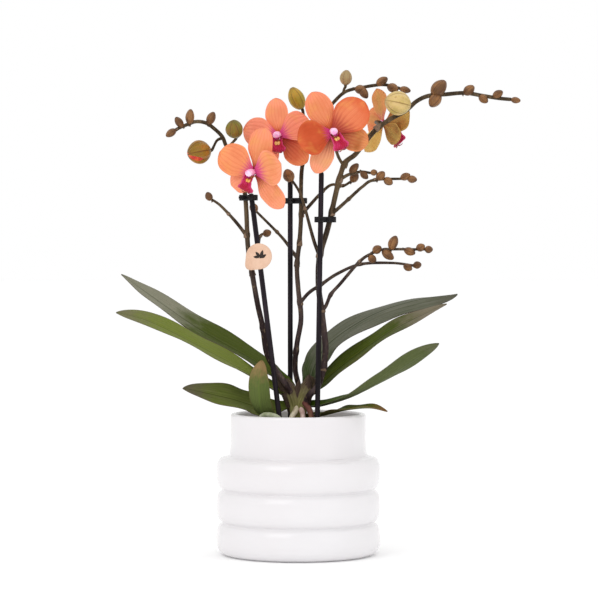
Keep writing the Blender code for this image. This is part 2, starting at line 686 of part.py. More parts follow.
# centre, way it faces (degrees to the right of front, degrees up), roll, and its five outer parts:
# direction round the flower, length, half width, forward bend of the tip, cupping
FLOWERS = {
    "flower_left": {
        "centre": (-32, -40, 192), "turn": -30, "lift": -10, "roll": -17, "spike": "spike_left",
        "stalk": ((-41.5, -12, 188), (-39, -18, 190)),
        "dorsal_sepal": (90, 33, 9.5, -0.1, 0.1), "sepal_left": (220, 26, 8.5, -0.16, 0.1),
        "sepal_right": (322, 33, 8.5, -0.1, 0.1), "petal_left": (162, 29, 12.0, 0.16, 0.15),
        "petal_right": (30, 26, 12.0, 0.1, 0.15),
    },
    "flower_middle": {
        "centre": (-14, -14, 219), "turn": -14, "lift": 2, "roll": 4, "spike": "spike_middle",
        "stalk": ((4, 3, 200), (-3, 0, 208)),
        "dorsal_sepal": (95, 29, 8.5, -0.1, 0.1), "sepal_left": (232, 26, 8.0, -0.12, 0.1),
        "sepal_right": (312, 28, 8.0, -0.06, 0.1), "petal_left": (166, 28, 10.5, -0.05, 0.12),
        "petal_right": (24, 26, 10.5, 0.1, 0.15),
    },
    "flower_front": {
        "centre": (25, -34, 221), "turn": 8, "lift": 0, "roll": 25, "spike": "spike_right",
        "stalk": ((33, -12, 198), (29, -16, 205)),
        "dorsal_sepal": (92, 33, 9.5, -0.08, 0.1), "sepal_left": (222, 32, 8.0, -0.05, 0.1),
        "sepal_right": (320, 28, 8.5, -0.1, 0.1), "petal_left": (169, 28, 11.5, 0.3, 0.2),
        "petal_right": (20, 32, 12.5, 0.12, 0.15),
    },
    "flower_right": {
        "centre": (64, 17, 230), "turn": 130, "lift": -4, "roll": -25, "spike": "spike_right",
        "stalk": ((58, -11, 225), (59, -3, 228)),
        "dorsal_sepal": (98, 27, 7.5, -0.04, 0.12), "sepal_left": (238, 26, 7.5, -0.1, 0.1),
        "sepal_right": (332, 26, 7.5, -0.1, 0.1), "petal_left": (188, 26, 10.0, 0.06, 0.15),
        "petal_right": (38, 25, 10.0, 0.1, 0.15),
    },
}

FLOWER_LAYERS = {"dorsal_sepal": -1.3, "sepal_left": -1.3, "sepal_right": -1.3, "petal_left": 0.9, "petal_right": 0.9}
PETAL_START = 1.5
PETAL_COLOURS = {"dorsal_sepal": (0.85, 0.32, 0.16), "sepal_left": (0.75, 0.24, 0.13),
                 "sepal_right": (0.78, 0.26, 0.14), "petal_left": (0.88, 0.34, 0.18),
                 "petal_right": (0.88, 0.33, 0.18)}


def flower_axes(shape):
    """Right, up and forward directions of a flower."""
    turn = math.radians(shape["turn"])
    lift = math.radians(shape["lift"])
    forward = Vector((math.sin(turn) * math.cos(lift), -math.cos(turn) * math.cos(lift), math.sin(lift)))
    right = Vector((math.cos(turn), math.sin(turn), 0.0))
    right = Matrix.Rotation(math.radians(shape["roll"]), 3, forward) @ right
    return right, forward.cross(right).normalized(), forward


def flower_point(shape, x, y, z):
    right, up, forward = flower_axes(shape)
    return plant_point(*shape["centre"]) + (right * x + up * y + forward * z) * MM


def petal_outline(t, slim):
    if t < 0.55:
        s = t / 0.55
        return 0.2 + 0.8 * (s * s * (3.0 - 2.0 * s)) ** (0.85 + 0.3 * slim)
    s = (t - 0.55) / 0.45
    return max((1.0 - s ** 2.2) ** 0.6, 0.2)


def petal_rows(shape, part, count=5, across=4):
    angle, length, half_width, bend, cup = shape[part]
    right, up, forward = flower_axes(shape)
    heading = math.radians(angle)
    outward = right * math.cos(heading) + up * math.sin(heading)
    sideways = up * math.cos(heading) - right * math.sin(heading)
    slim = 1.0 if "sepal" in part else 0.0
    start = COLUMN_RADIUS + PETAL_START
    rows = []
    for i in range(count + 1):
        t = i / count
        reach = start + (length - start) * t
        height = FLOWER_LAYERS[part] + bend * length * t * t
        half = half_width * petal_outline(t, slim)
        row = []
        for j in range(across + 1):
            v = 2.0 * j / across - 1.0
            rise = height + cup * half * v * v * t
            point = flower_point(shape, 0.0, 0.0, 0.0)
            point = point + (outward * (reach - 0.12 * half * v * v * t) + sideways * half * v) * MM
            row.append((point + forward * rise * MM, forward, 0.5 * PETAL_THICKNESS * MM * (1.0 - 0.35 * abs(v))))
        rows.append(row)
    return rows


def lip_rows(shape, count=7, across=4):
    """Three lobed lip: raised side lobes near the column, a narrow waist and a forked tip."""
    widths = (1.4, 3.8, 5.4, 4.2, 2.6, 3.2, 4.4, 1.6)
    folds = (10, 48, 58, 46, 26, 14, 8, 4)
    spine = [(0.0, -3.9, 1.4), (0.0, -5.2, 3.6), (0.0, -7.2, 5.6), (0.0, -9.6, 7.0), (0.0, -12.0, 7.8),
             (0.0, -14.2, 7.6), (0.0, -16.0, 6.6), (0.0, -17.2, 5.2)]
    right, up, forward = flower_axes(shape)
    path = [flower_point(shape, *point) for point in spine]
    rows = []
    last_normal = up
    for point, tangent, width, fold in zip(path, tangents(path), widths, folds):
        normal = right.cross(tangent).normalized()
        if normal.dot(last_normal) < 0.0:
            normal = -normal
        last_normal = normal
        rise = math.radians(fold)
        row = []
        for j in range(across + 1):
            v = 2.0 * j / across - 1.0
            flank = (right * v * math.cos(rise) + normal * abs(v) * math.sin(rise)) * width * MM
            row.append((point + flank, normal, 0.5 * PETAL_THICKNESS * MM))
        rows.append(row)
    return rows


def build_flowers():
    for name, shape in FLOWERS.items():
        for part in FLOWER_LAYERS:
            rows = petal_rows(shape, part)
            new_object("%s_%s" % (name, part), blade_mesh(part, rows), (PETAL_COLOURS[part], 0.5))
        new_object(name + "_lip", blade_mesh("lip", lip_rows(shape)), ((0.55, 0.03, 0.1), 0.45))
        back = -COLUMN_RADIUS - 1.2
        spine = [flower_point(shape, 0.0, 0.0, back), flower_point(shape, 0.0, 0.2, 0.5),
                 flower_point(shape, 0.0, 0.9, 5.0), flower_point(shape, 0.0, 0.4, 8.4),
                 flower_point(shape, 0.0, -0.2, 9.2)]
        sizes = (0.8, 1.0, 1.0, 0.95, 0.5)
        column = tube_mesh("column", spine, lambda t: COLUMN_RADIUS * MM * sizes[round(t * 4)], 8)
        new_object(name + "_column", column, ((0.75, 0.6, 0.68), 0.4))


# ---------------------------------------------------------------- clips and tag

CLIPS = {
    "clip_left": ("stake_left", "spike_left", 174),
    "clip_middle": ("stake_middle", "spike_middle", 172),
    "clip_right": ("stake_right", "spike_right", 158),
}


def point_at_height(path, z):
    for low, high in zip(path, path[1:]):
        if low.z <= z <= high.z:
            return low.lerp(high, (z - low.z) / (high.z - low.z))
    return path[-1]


def capsule_mesh(name, first, second, radius, height, sides=8):
    """An upright slab with two round ends, one round each point."""
    heading = math.atan2(second.y - first.y, second.x - first.x)
    outline = []
    for centre, start in ((second, heading - math.pi * 0.5), (first, heading + math.pi * 0.5)):
        for k in range(sides + 1):
            angle = start + math.pi * k / sides
            outline.append((centre.x + radius * math.cos(angle), centre.y + radius * math.sin(angle)))
    middle = 0.5 * (first.z + second.z)
    vertices = [Vector((x, y, middle - height * 0.5)) for x, y in outline]
    vertices += [Vector((x, y, middle + height * 0.5)) for x, y in outline]
    count = len(outline)
    faces = [tuple(range(count)), tuple(range(count, 2 * count))]
    for k in range(count):
        k2 = (k + 1) % count
        faces.append((k, k2, count + k2, count + k))
    return mesh_from(name, vertices, faces)


def build_clips():
    for name, (stake, spike, height) in CLIPS.items():
        z = (BARK_TOP + height) * MM
        post = point_at_height(stake_path(stake), z)
        stem = point_at_height(spike_path(spike), z)
        radius = (max(STAKE_RADIUS, SPIKE_RADIUS) + CLIP_PLAY + CLIP_WALL) * MM
        body = capsule_mesh(name, post, stem, radius, CLIP_HEIGHT * MM)
        clip = new_object(name, body, ((0.015, 0.015, 0.017), 0.35), smooth=False)
        hole = tube_mesh("hole", spike_path(spike), spike_radius(spike, CLIP_PLAY), 10)
        bore = tube_mesh("bore", stake_path(stake), stake_radius(GAP), 10)
        combine(clip, [helper(name + "_hole", hole), helper(name + "_bore", bore)], "DIFFERENCE")


TAG_HEIGHT = 131.0
TAG_SIZE = 19.0


def build_tag():
    """Drop shaped card standing just in front of the left stake, held by a loop round it."""
    post = point_at_height(stake_path("stake_left"), (BARK_TOP + TAG_HEIGHT) * MM)
    front = post.y - (STAKE_RADIUS + GAP + 1.6) * MM
    outline = []
    count = 28
    for k in range(count):
        angle = 2.0 * math.pi * k / count
        stretch = 1.0 + 0.34 * math.exp(-((angle - math.radians(225.0)) / 0.42) ** 2)
        outline.append((post.x + 0.5 * TAG_SIZE * stretch * math.cos(angle) * MM,
                        post.z + 0.5 * TAG_SIZE * stretch * math.sin(angle) * MM))
    vertices = [Vector((x, front, z)) for x, z in outline]
    vertices += [Vector((x, front - TAG_THICKNESS * MM, z)) for x, z in outline]
    faces = [tuple(range(count)), tuple(range(count, 2 * count))]
    for k in range(count):
        k2 = (k + 1) % count
        faces.append((k, k2, count + k2, count + k))
    tag = new_object("plant_tag", mesh_from("plant_tag", vertices, faces), ((0.72, 0.45, 0.28), 0.7), smooth=False)
    ahead = Vector((post.x, front + 0.2 * MM, post.z))
    loop = capsule_mesh("loop", post, ahead, (STAKE_RADIUS + GAP + 1.1) * MM, 5.0 * MM)
    limit = [Vector((post.x, front - TAG_THICKNESS * 0.5 * MM, post.z)), Vector((post.x, front - 9.0 * MM, post.z))]
    loop_body = helper("tag_loop", loop)
    trim = tube_mesh("trim", [limit[0], limit[0].lerp(limit[1], 0.5), limit[1]], lambda t: 9.0 * MM, 12)
    combine(loop_body, [helper("tag_trim", trim)], "DIFFERENCE")
    combine(tag, [loop_body], "UNION")
    bore = tube_mesh("bore", stake_path("stake_left"), stake_radius(GAP), 10)
    combine(tag, [helper("tag_bore", bore)], "DIFFERENCE")


clear_scene()
build_pots()
build_base()
build_leaves()
build_spikes()
build_flowers()
build_clips()
build_tag()
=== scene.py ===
"""Looks of the potted orchid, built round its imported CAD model. Metres, +Z up.

Plant points are in millimetres, the third number being the height above the bark.
"""

import math

import bmesh
import bpy
from mathutils import Matrix, Vector, noise


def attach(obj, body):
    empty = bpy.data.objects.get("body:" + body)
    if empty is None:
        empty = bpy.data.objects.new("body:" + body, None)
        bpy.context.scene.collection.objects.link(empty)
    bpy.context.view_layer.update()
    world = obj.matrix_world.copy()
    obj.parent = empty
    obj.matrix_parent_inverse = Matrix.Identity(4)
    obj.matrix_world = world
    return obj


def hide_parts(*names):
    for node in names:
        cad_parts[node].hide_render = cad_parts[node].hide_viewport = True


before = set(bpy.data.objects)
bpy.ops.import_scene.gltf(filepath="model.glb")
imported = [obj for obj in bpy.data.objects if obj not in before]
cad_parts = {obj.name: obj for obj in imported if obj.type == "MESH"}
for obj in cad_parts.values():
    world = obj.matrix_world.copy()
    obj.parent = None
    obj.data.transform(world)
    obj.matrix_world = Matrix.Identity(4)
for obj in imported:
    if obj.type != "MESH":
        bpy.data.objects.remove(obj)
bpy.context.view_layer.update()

ROOT = "root"
MM = 0.001

# ---------------------------------------------------------------- sizes, mm

POT_RIM_RADIUS = 50.2
POT_WALL = 4.0
POT_FLOOR = 5.0
POT_HEIGHT = 104.6
RING_COUNT = 3
RING_PITCH = 24.2
RING_CREST_RADIUS = 60.8
RING_VALLEY_RADIUS = 54.4
SHOULDER = RING_COUNT * RING_PITCH
FOOT_RADIUS = 49.0
NURSERY_TOP_RADIUS = 45.0
NURSERY_BOTTOM_RADIUS = 33.0
NURSERY_BASE = 5.3
NURSERY_TOP = 95.0
DRAIN_RADIUS = 3.0
DRAIN_RING_RADIUS = 18.0
DRAIN_COUNT = 5
BARK_TOP = 90.0
STAKE_RADIUS = 1.9
STAKE_DEPTH = 55.0
CLIP_HEIGHT = 4.2
LEAF_THICKNESS = 1.6
SPIKE_RADIUS = 2.3
TWIG_RADIUS = 1.4
PEDICEL_RADIUS = 1.1
ROOT_RADIUS = 2.0
PETAL_THICKNESS = 0.55
COLUMN_RADIUS = 2.2
TAG_HEIGHT = 131.0
TAG_SIZE = 19.0
TAG_THICKNESS = 0.9
CHIP_COUNT = 230
CHIP_TURN = 2.39996  # radians from one chip to the next, so that they never line up
PLAIN_TIP = 2.7  # bluntness of a leaf's tip where no other is given

CAMERA_PLACE = (0.0005, -2.0, 0.232)
CAMERA_DIP = 1.244  # degrees below level
CAMERA_LENS = 162.16


def plant_point(x, y, height):
    return Vector((x * MM, y * MM, (height + BARK_TOP) * MM))


def plant_points(*points):
    return [plant_point(*point) for point in points]


def spline_point(points, position):
    last = len(points) - 1
    index = min(int(position), last - 1)
    t = position - index
    b = points[index]
    c = points[index + 1]
    a = points[index - 1] if index > 0 else b * 2.0 - c
    d = points[index + 2] if index + 2 <= last else c * 2.0 - b
    return 0.5 * (2.0 * b + (c - a) * t + (2.0 * a - 5.0 * b + 4.0 * c - d) * t * t
                  + (3.0 * b - a - 3.0 * c + d) * t * t * t)


def smooth_path(points, count):
    """Evenly spaced points on a smooth curve through the given ones."""
    steps = (len(points) - 1) * 16
    dense = [spline_point(points, i / 16.0) for i in range(steps + 1)]
    lengths = [0.0]
    for first, second in zip(dense, dense[1:]):
        lengths.append(lengths[-1] + (second - first).length)
    path = []
    segment = 0
    for i in range(count):
        target = lengths[-1] * i / (count - 1)
        while segment < steps - 1 and lengths[segment + 1] < target:
            segment += 1
        span = lengths[segment + 1] - lengths[segment]
        path.append(dense[segment].lerp(dense[segment + 1], (target - lengths[segment]) / span))
    return path


def tangents(path):
    found = []
    for i in range(len(path)):
        before = path[max(i - 1, 0)]
        after = path[min(i + 1, len(path) - 1)]
        found.append((after - before).normalized())
    return found


def carried_frames(path):
    """Two side vectors at every point, carried along without twisting."""
    along = tangents(path)
    start = Vector((1.0, 0.0, 0.0))
    if abs(along[0].x) > 0.8:
        start = Vector((0.0, 1.0, 0.0))
    side = (start - along[0] * start.dot(along[0])).normalized()
    frames = []
    for tangent in along:
        side = (side - tangent * side.dot(tangent)).normalized()
        frames.append((side, tangent.cross(side)))
    return frames


# ---------------------------------------------------------------- materials

class Look:
    """A procedural material being put together."""

    def __init__(self, name, roughness=0.5, specular=0.5, **sockets):
        self.material = bpy.data.materials.new(name)
        self.material.use_nodes = True
        self.tree = self.material.node_tree
        self.shader = self.tree.nodes["Principled BSDF"]
        self.shader.inputs["Roughness"].default_value = roughness
        self.shader.inputs["Specular IOR Level"].default_value = specular
        for socket, value in sockets.items():
            self.shader.inputs[socket.replace("_", " ")].default_value = value

    def make(self, kind, **settings):
        node = self.tree.nodes.new("ShaderNode" + kind)
        for key, value in settings.items():
            setattr(node, key, value)
        return node

    def put(self, socket, value):
        if isinstance(value, bpy.types.NodeSocket):
            self.tree.links.new(value, socket)
        elif isinstance(value, (tuple, list)) and socket.type == "RGBA":
            socket.default_value = (*value, 1.0)
        else:
            socket.default_value = value

    def math(self, operation, *values):
        node = self.make("Math", operation=operation)
        for socket, value in zip(node.inputs, values):
            self.put(socket, value)
        return node.outputs[0]

    def mix(self, factor, first, second):
        node = self.make("Mix", data_type="RGBA")
        self.put(node.inputs[0], factor)
        self.put(node.inputs[6], first)
        self.put(node.inputs[7], second)
        return node.outputs[2]

    def fade(self, value, start, end, low=0.0, high=1.0):
        node = self.make("MapRange", interpolation_type="SMOOTHSTEP")
        for socket, entry in zip(node.inputs, (value, start, end, low, high)):
            self.put(socket, entry)
        return node.outputs[0]

    def coat(self, under, over, value, start, end, high=1.0, low=0.0):
        """Lay a colour over another as a value goes from start to end."""
        return self.mix(self.fade(value, start, end, low, high), under, over)

    def place(self, stretch=(1.0, 1.0, 1.0), coordinates="Object"):
        if coordinates == "UV":
            source = self.make("UVMap", uv_map="Grain").outputs[0]
        else:
            source = self.make("TexCoord").outputs[coordinates]
        mapping = self.make("Mapping")
        self.put(mapping.inputs["Vector"], source)
        self.put(mapping.inputs["Scale"], stretch)
        return mapping.outputs[0]

    def noise(self, scale, detail=3.0, stretch=(1.0, 1.0, 1.0), coordinates="Object", distortion=0.0):
        node = self.make("TexNoise")
        self.put(node.inputs["Vector"], self.place(stretch, coordinates))
        self.put(node.inputs["Scale"], scale)
        self.put(node.inputs["Detail"], detail)
        self.put(node.inputs["Distortion"], distortion)
        return node.outputs[0]

    def cells(self, scale, stretch=(1.0, 1.0, 1.0)):
        node = self.make("TexVoronoi")
        self.put(node.inputs["Vector"], self.place(stretch))
        self.put(node.inputs["Scale"], scale)
        return node.outputs[0]

    def grain(self):
        """Across and along the piece, each 0..1."""
        parts = self.make("SeparateXYZ")
        self.put(parts.inputs[0], self.make("UVMap", uv_map="Grain").outputs[0])
        return parts.outputs[0], parts.outputs[1]

    def height(self):
        parts = self.make("SeparateXYZ")
        self.put(parts.inputs[0], self.make("TexCoord").outputs["Object"])
        return parts.outputs[2]

    def stripes(self, across, count, wander):
        """0..1 lines running along the piece, a little uneven."""
        phase = self.math("MULTIPLY_ADD", across, count * 2.0 * math.pi, self.math("MULTIPLY", wander, 5.0))
        return self.math("MULTIPLY_ADD", self.math("SINE", phase), 0.5, 0.5)

    def finish(self, colour, relief=None, depth=0.0002, roughness=None):
        self.put(self.shader.inputs["Base Color"], colour)
        if roughness is not None:
            self.put(self.shader.inputs["Roughness"], roughness)
        if relief is not None:
            bump = self.make("Bump")
            self.put(bump.inputs["Height"], relief)
            bump.inputs["Distance"].default_value = depth
            bump.inputs["Strength"].default_value = 1.0
            self.tree.links.new(bump.outputs[0], self.shader.inputs["Normal"])
        return self.material


def full_turn(count):
    """Evenly spaced angles round a circle."""
    return [2.0 * math.pi * k / count for k in range(count)]


def scaled(colour, share):
    return tuple(min(channel * share, 1.0) for channel in colour)


def blended(first, second, share):
    return tuple(a + (b - a) * share for a, b in zip(first, second))


# ---------------------------------------------------------------- shapes

class Shape:
    """Points, faces, grain coordinates and finish numbers of one piece."""

    def __init__(self):
        self.points = []
        self.faces = []
        self.grain = []
        self.finish = []

    def face(self, corners, grain, finish):
        self.faces.append(corners)
        self.grain.append(grain)
        self.finish.append(finish)

    def sheet(self, rows, finish=0, closed=False, grain_rows=None):
        """A grid of points; closed joins the last column to the first."""
        start = len(self.points)
        width = len(rows[0])
        for row in rows:
            self.points += row
        spans = width if closed else width - 1
        steps = grain_rows or [i / (len(rows) - 1) for i in range(len(rows))]
        for i in range(len(rows) - 1):
            for k in range(spans):
                a = start + i * width + k
                b = start + i * width + (k + 1) % width
                u, u2 = k / spans, (k + 1) / spans
                self.face((a, b, b + width, a + width),
                          ((u, steps[i]), (u2, steps[i]), (u2, steps[i + 1]), (u, steps[i + 1])), finish)
        return start

    def tube(self, path, radius_at, sides, finish=0, section=None):
        """A round tube with closed ends; section gives a factor for an angle and a 0..1 place."""
        rows = []
        last = len(path) - 1
        for i, (point, (side, up)) in enumerate(zip(path, carried_frames(path))):
            t = i / last
            row = []
            for angle in full_turn(sides):
                radius = radius_at(t) * (section(angle, t) if section else 1.0)
                row.append(point + (side * math.cos(angle) + up * math.sin(angle)) * radius)
            rows.append(row)
        start = self.sheet(rows, finish, closed=True)
        for first, centre, t in ((start, path[0], 0.0), (start + last * sides, path[-1], 1.0)):
            self.points.append(centre)
            hub = len(self.points) - 1
            for k in range(sides):
                self.face((first + k, first + (k + 1) % sides, hub),
                          ((k / sides, t), ((k + 1) / sides, t), ((k + 0.5) / sides, t)), finish)

    def blade(self, rows, steps, top=0, under=1):
        """A thick blade from rows of (point, normal, half thickness), its edges closed."""
        width = len(rows[0])
        count = len(rows)
        upper = self.sheet([[p + n * h for p, n, h in row] for row in rows], top, grain_rows=steps)
        lower = self.sheet([[p - n * h for p, n, h in row] for row in rows], under, grain_rows=steps)
        for i in range(count - 1):
            for j in (0, width - 1):
                a, b = upper + i * width + j, lower + i * width + j
                u = j / (width - 1)
                self.face((a, a + width, b + width, b),
                          ((u, steps[i]), (u, steps[i + 1]), (u, steps[i + 1]), (u, steps[i])), top)
        for i in (0, count - 1):
            for j in range(width - 1):
                a, b = upper + i * width + j, lower + i * width + j
                u, u2 = j / (width - 1), (j + 1) / (width - 1)
                self.face((a, a + 1, b + 1, b),
                          ((u, steps[i]), (u2, steps[i]), (u2, steps[i]), (u, steps[i])), top)

    def ball(self, centre, sizes, rings=10, sides=16, finish=0, turn=None):
        """A closed ball, sizes being its half lengths."""
        start = len(self.points)
        turn = turn or Matrix.Identity(3)
        rows = []
        for i in range(rings + 1):
            fall = math.pi * min(max(i / rings, 0.03), 0.97)
            row = []
            for angle in full_turn(sides):
                girth = math.sin(fall)
                ray = Vector((girth * math.cos(angle), girth * math.sin(angle), math.cos(fall)))
                row.append(centre + turn @ Vector([r * s for r, s in zip(ray, sizes)]))
            rows.append(row)
        self.sheet(rows, finish, closed=True)
        for first in (start, start + rings * sides):
            corners = tuple(first + k for k in range(sides))
            self.face(corners, tuple((k / sides, 0.0) for k in range(sides)), finish)

    def mesh(self, name, looks):
        mesh = bpy.data.meshes.new(name)
        mesh.from_pydata([tuple(p) for p in self.points], [], self.faces)
        layer = mesh.uv_layers.new(name="Grain")
        index = 0
        for grain in self.grain:
            for pair in grain:
                layer.data[index].uv = pair
                index += 1
        for face, finish in zip(mesh.polygons, self.finish):
            face.material_index = finish
            face.use_smooth = True
        for look in looks:
            mesh.materials.append(look)
        shape = bmesh.new()
        shape.from_mesh(mesh)
        bmesh.ops.recalc_face_normals(shape, faces=shape.faces)
        shape.to_mesh(mesh)
        shape.free()
        mesh.update()
        return mesh

    def piece(self, name, looks, slot, *nodes):
        return piece(name, self.mesh(name, looks), slot, *nodes)


def piece(name, mesh, slot, *nodes):
    """Set a finished mesh in the frame in place of its CAD nodes."""
    made = bpy.data.objects.new(name, mesh)
    bpy.context.scene.collection.objects.link(made)
    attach(made, ROOT)
    if nodes:
        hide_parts(*nodes)
    return made


def lumps(point, size, seed):
    """Smooth noise, -1..1, for a place in metres and a lump size in mm."""
    return noise.noise(point / (size * MM) + Vector((seed * 7.31, seed * 3.17, seed * 5.53)))


def scatter(index, channel):
    """A fixed number in 0..1 for each index and channel."""
    value = math.sin(index * 12.9898 + channel * 78.233) * 43758.5453
    return value - math.floor(value)


def curve(points):
    """Point and direction at any 0..1 share of a smooth curve's length."""
    path = smooth_path(points, 240)
    along = tangents(path)

    def at(share):
        place = min(max(share, 0.0), 1.0) * 239
        index = min(int(place), 238)
        rest = place - index
        return path[index].lerp(path[index + 1], rest), along[index].lerp(along[index + 1], rest).normalized()
    return at


def bell(t, centre, width):
    return math.exp(-((t - centre) / width) ** 2)


# ---------------------------------------------------------------- where things are

ROOTS = {
    "root_front": ((-2, -9.2, 17), (-5, -12, 12), (-6.5, -14, 4), (-7, -14.5, -5)),
    "root_arch": ((-8, -31, -5), (-10, -33, 8), (-17, -35, 14.5), (-25, -30, 15), (-29, -24.5, 9),
                  (-29.5, -23, -5)),
    "root_right": ((3, -10.0, 16), (3.4, -13, 11), (2.6, -15, 4), (2, -15.5, -5)),
    "root_bract": ((6, -9.2, 21), (8.6, -12.8, 17), (10, -15, 9), (10, -15.5, -5)),
}

STAKES = {
    "stake_left": ((-14, -21, 14), (-34.6, -20, 177)),
    "stake_middle": ((-6, 16, 15), (-6, 4, 193)),
    "stake_right": ((14, -22, 16), (17, -8, 193)),
}

# points along the midrib, half width, fold at base and tip, tilt to the front at base and tip
LEAVES = {
    "leaf_back_left": (((-9, 3, 35), (-19, 8, 42), (-34, 16.5, 53), (-74, 32, 75), (-114, 43, 102),
                        (-134, 46, 117)), 17.2, 18, 8, 8, 14),
    "leaf_left": (((-9.4, 0, 27), (-19, -2, 33), (-34, -6, 42.5), (-71, -16, 63.5), (-108, -25, 82.5),
                   (-133, -28, 90)), 18.0, 14, 8, 20, 20),
    "leaf_low_left": (((-7, 0, 18.5), (-16, 1.5, 17), (-26, 0, 17.5), (-37, -3, 21), (-52, -9, 26),
                       (-85, -17, 34)), 14.0, 18, 10, 40, 34),
    "leaf_front": (((-7.6, -4, 8), (-14, -8, 8), (-22, -15, 11.5), (-27.0, -24, 19), (-28.5, -32, 30),
                    (-28.5, -39, 42), (-26.5, -46, 56)), 8.3, 24, 16, 0, 0),
    "leaf_back_right": (((9, 5, 38), (13, 10, 50), (24, 17, 66), (55, 27, 86), (88, 34, 97),
                         (120, 37, 102)), 18.0, 16, -20, 10, 16),
    "leaf_right": (((9.8, 3, 29), (18, 3, 36), (35, 0, 51), (69, -9, 75.5), (109, -15, 96)),
                   16.0, 14, 6, 34, 14),
    "leaf_twisted_right": (((8.8, -3, 20), (17, -8, 21), (39, -22, 28.5), (60, -30, 40), (81, -37, 55),
                            (102, -42, 68)), 13.5, 12, 6, 26, -36),
    "leaf_low_right": (((8, -4, 13), (18, -9, 14), (34, -22, 18.5), (52, -29, 20.5), (65, -32, 18)),
                       7.5, 16, 16, 6, 8),
}

SPIKES = {
    "spike_left": ((-8.2, -8.5, 35), (-13, -8.8, 42), (-18, -9, 49), (-23.5, -10, 61), (-26, -11, 78),
                   (-30, -12, 96), (-34, -14, 119), (-37, -15, 138), (-38, -15, 161), (-39, -14, 175),
                   (-41, -12, 187), (-46, -9, 200), (-53, -8, 212), (-56, -8, 219), (-62, -9, 225),
                   (-68, -10, 229), (-75, -11, 230), (-81, -12, 228), (-88, -13, 225), (-92, -14, 222)),
    "spike_middle": ((0.5, 12.4, 33), (-2.4, 6, 48), (-1, 2, 66), (2, 2, 85), (0, 2, 106), (-1, 2, 124),
                     (1, 1, 143), (2, 0, 161), (2, 0, 180), (3, 2, 198), (8, 8, 216), (15, 11, 232),
                     (26, 11, 245), (35, 9, 253), (47, 7, 256), (62, 5, 258), (72, 3, 256), (78, 2, 254)),
    "spike_right": ((8.5, -10.2, 29), (13.5, -10.6, 34), (17, -11, 43), (20, -11, 60), (19, -10, 75),
                    (17, -9, 92), (15, -8, 108), (15, -7, 125), (17, -6.5, 136), (21, -7.5, 149),
                    (24, -9, 161), (29, -11, 183), (34, -12, 199), (42, -11, 206), (50, -11, 216),
                    (58, -11, 225), (68, -11, 232), (79, -10, 238), (87, -10, 245), (96, -10, 249),
                    (108, -10, 250), (122, -11, 251), (135, -12, 249), (147, -13, 247), (157, -14, 246)),
}

TWIGS = {
    "spike_left": (
        ((-38, -15, 146), (-44, -16, 154), (-51, -17, 162), (-58, -18, 169), (-64, -18, 173)),
        ((-35, -14, 130), (-30, -11, 138), (-28, -10, 146), (-24, -10, 148)),
    ),
    "spike_middle": (
        ((1, 2, 96), (8, 3, 104), (17, 4, 110), (29, 4, 118), (46, 2, 125), (69, 0, 126), (86, -1, 124)),
        ((-1, 1, 124), (-0.4, 8, 128), (-3.5, 14, 133), (-9, 15, 141), (-16, 12, 149), (-32, 4, 165)),
        ((2, 0, 161), (7, 3, 167), (18, 6, 179), (25, 6, 184), (33, 2, 183), (40, -1, 187)),
    ),
    "spike_right": (
        ((16, -9, 90), (20, -11, 94), (24, -12, 103), (31, -12, 111), (45, -10, 127), (54, -10, 133),
         (64, -10, 136), (94, -10, 136)),
        ((15.5, -7, 131), (11, -8, 144), (5, -9, 166), (1, -9, 178), (-6, -8, 189)),
        ((24, -9, 162), (28, -12, 165), (37, -14, 173), (47, -15, 182), (56, -16, 187), (81, -16, 188)),
        ((30, -11, 187), (37, -13, 191), (46, -14, 193), (54, -15, 192)),
    ),
}

# small buds grown on a spike: foot on the stem, tip, radius
SMALL_BUDS = {
    "spike_left": (
        ((-64, -18, 172), (-67, -18, 178), 2.6),
        ((-26, -10, 147), (-20, -11, 149), 2.7),
        ((-80, -12, 228), (-79, -13, 239), 3.1),
        ((-66, -10, 228), (-62, -11, 237), 3.1),
        ((-85, -13, 226), (-90, -15, 233), 2.7),
        ((-90, -14, 224), (-97, -15, 219), 2.6),
    ),
    "spike_middle": (
        ((78, -1, 124.5), (84, -2, 121), 2.6),
        ((85, -1, 124), (91, -2, 125), 2.6),
        ((-31, 4, 164), (-35, 3, 170), 3.0),
        ((39, -1, 186), (44, -2, 192), 3.0),
        ((42, 7, 255), (50, 5, 254), 3.2),
        ((46, 7, 256), (51, 3, 248), 3.0),
        ((58, 5, 258), (66, 4, 263), 3.0),
        ((66, 4, 257), (74, 2, 254), 3.2),
        ((75, 2, 255), (83, 1, 253), 2.4),
    ),
    "spike_right": (
        ((87, -10, 136), (93, -11, 139), 2.8),
        ((93, -10, 136), (99, -11, 136), 2.6),
        ((55, -10, 134), (61, -11, 138), 3.0),
        ((52, -10, 131), (57, -12, 127), 2.8),
        ((68, -10, 136), (72, -11, 146), 3.4),
        ((62, -10, 135), (70, -12, 129), 3.0),
        ((78, -10, 136), (86, -11, 133), 2.8),
        ((-5, -8, 186), (-9, -8, 195), 4.0),
        ((58, -16, 187), (63, -17, 193), 3.0),
        ((63, -16, 188), (69, -17, 184), 2.8),
        ((75, -16, 188), (82, -17, 191), 2.6),
        ((80, -16, 188), (87, -17, 187), 2.6),
        ((38, -13, 192), (44, -13, 199), 2.7),
        ((46, -14, 193), (51, -15, 188), 2.4),
        ((53, -15, 192), (58, -15, 193), 2.2),
        ((99, -10, 249), (108, -10, 260), 5.0),
        ((104, -10, 250), (97, -12, 241), 4.2),
        ((122, -11, 250), (129, -12, 256), 3.4),
        ((133, -12, 249), (139, -13, 244), 2.8),
        ((143, -13, 248), (150, -14, 252), 2.8),
        ((156, -14, 246), (163, -15, 245), 2.2),
    ),
}

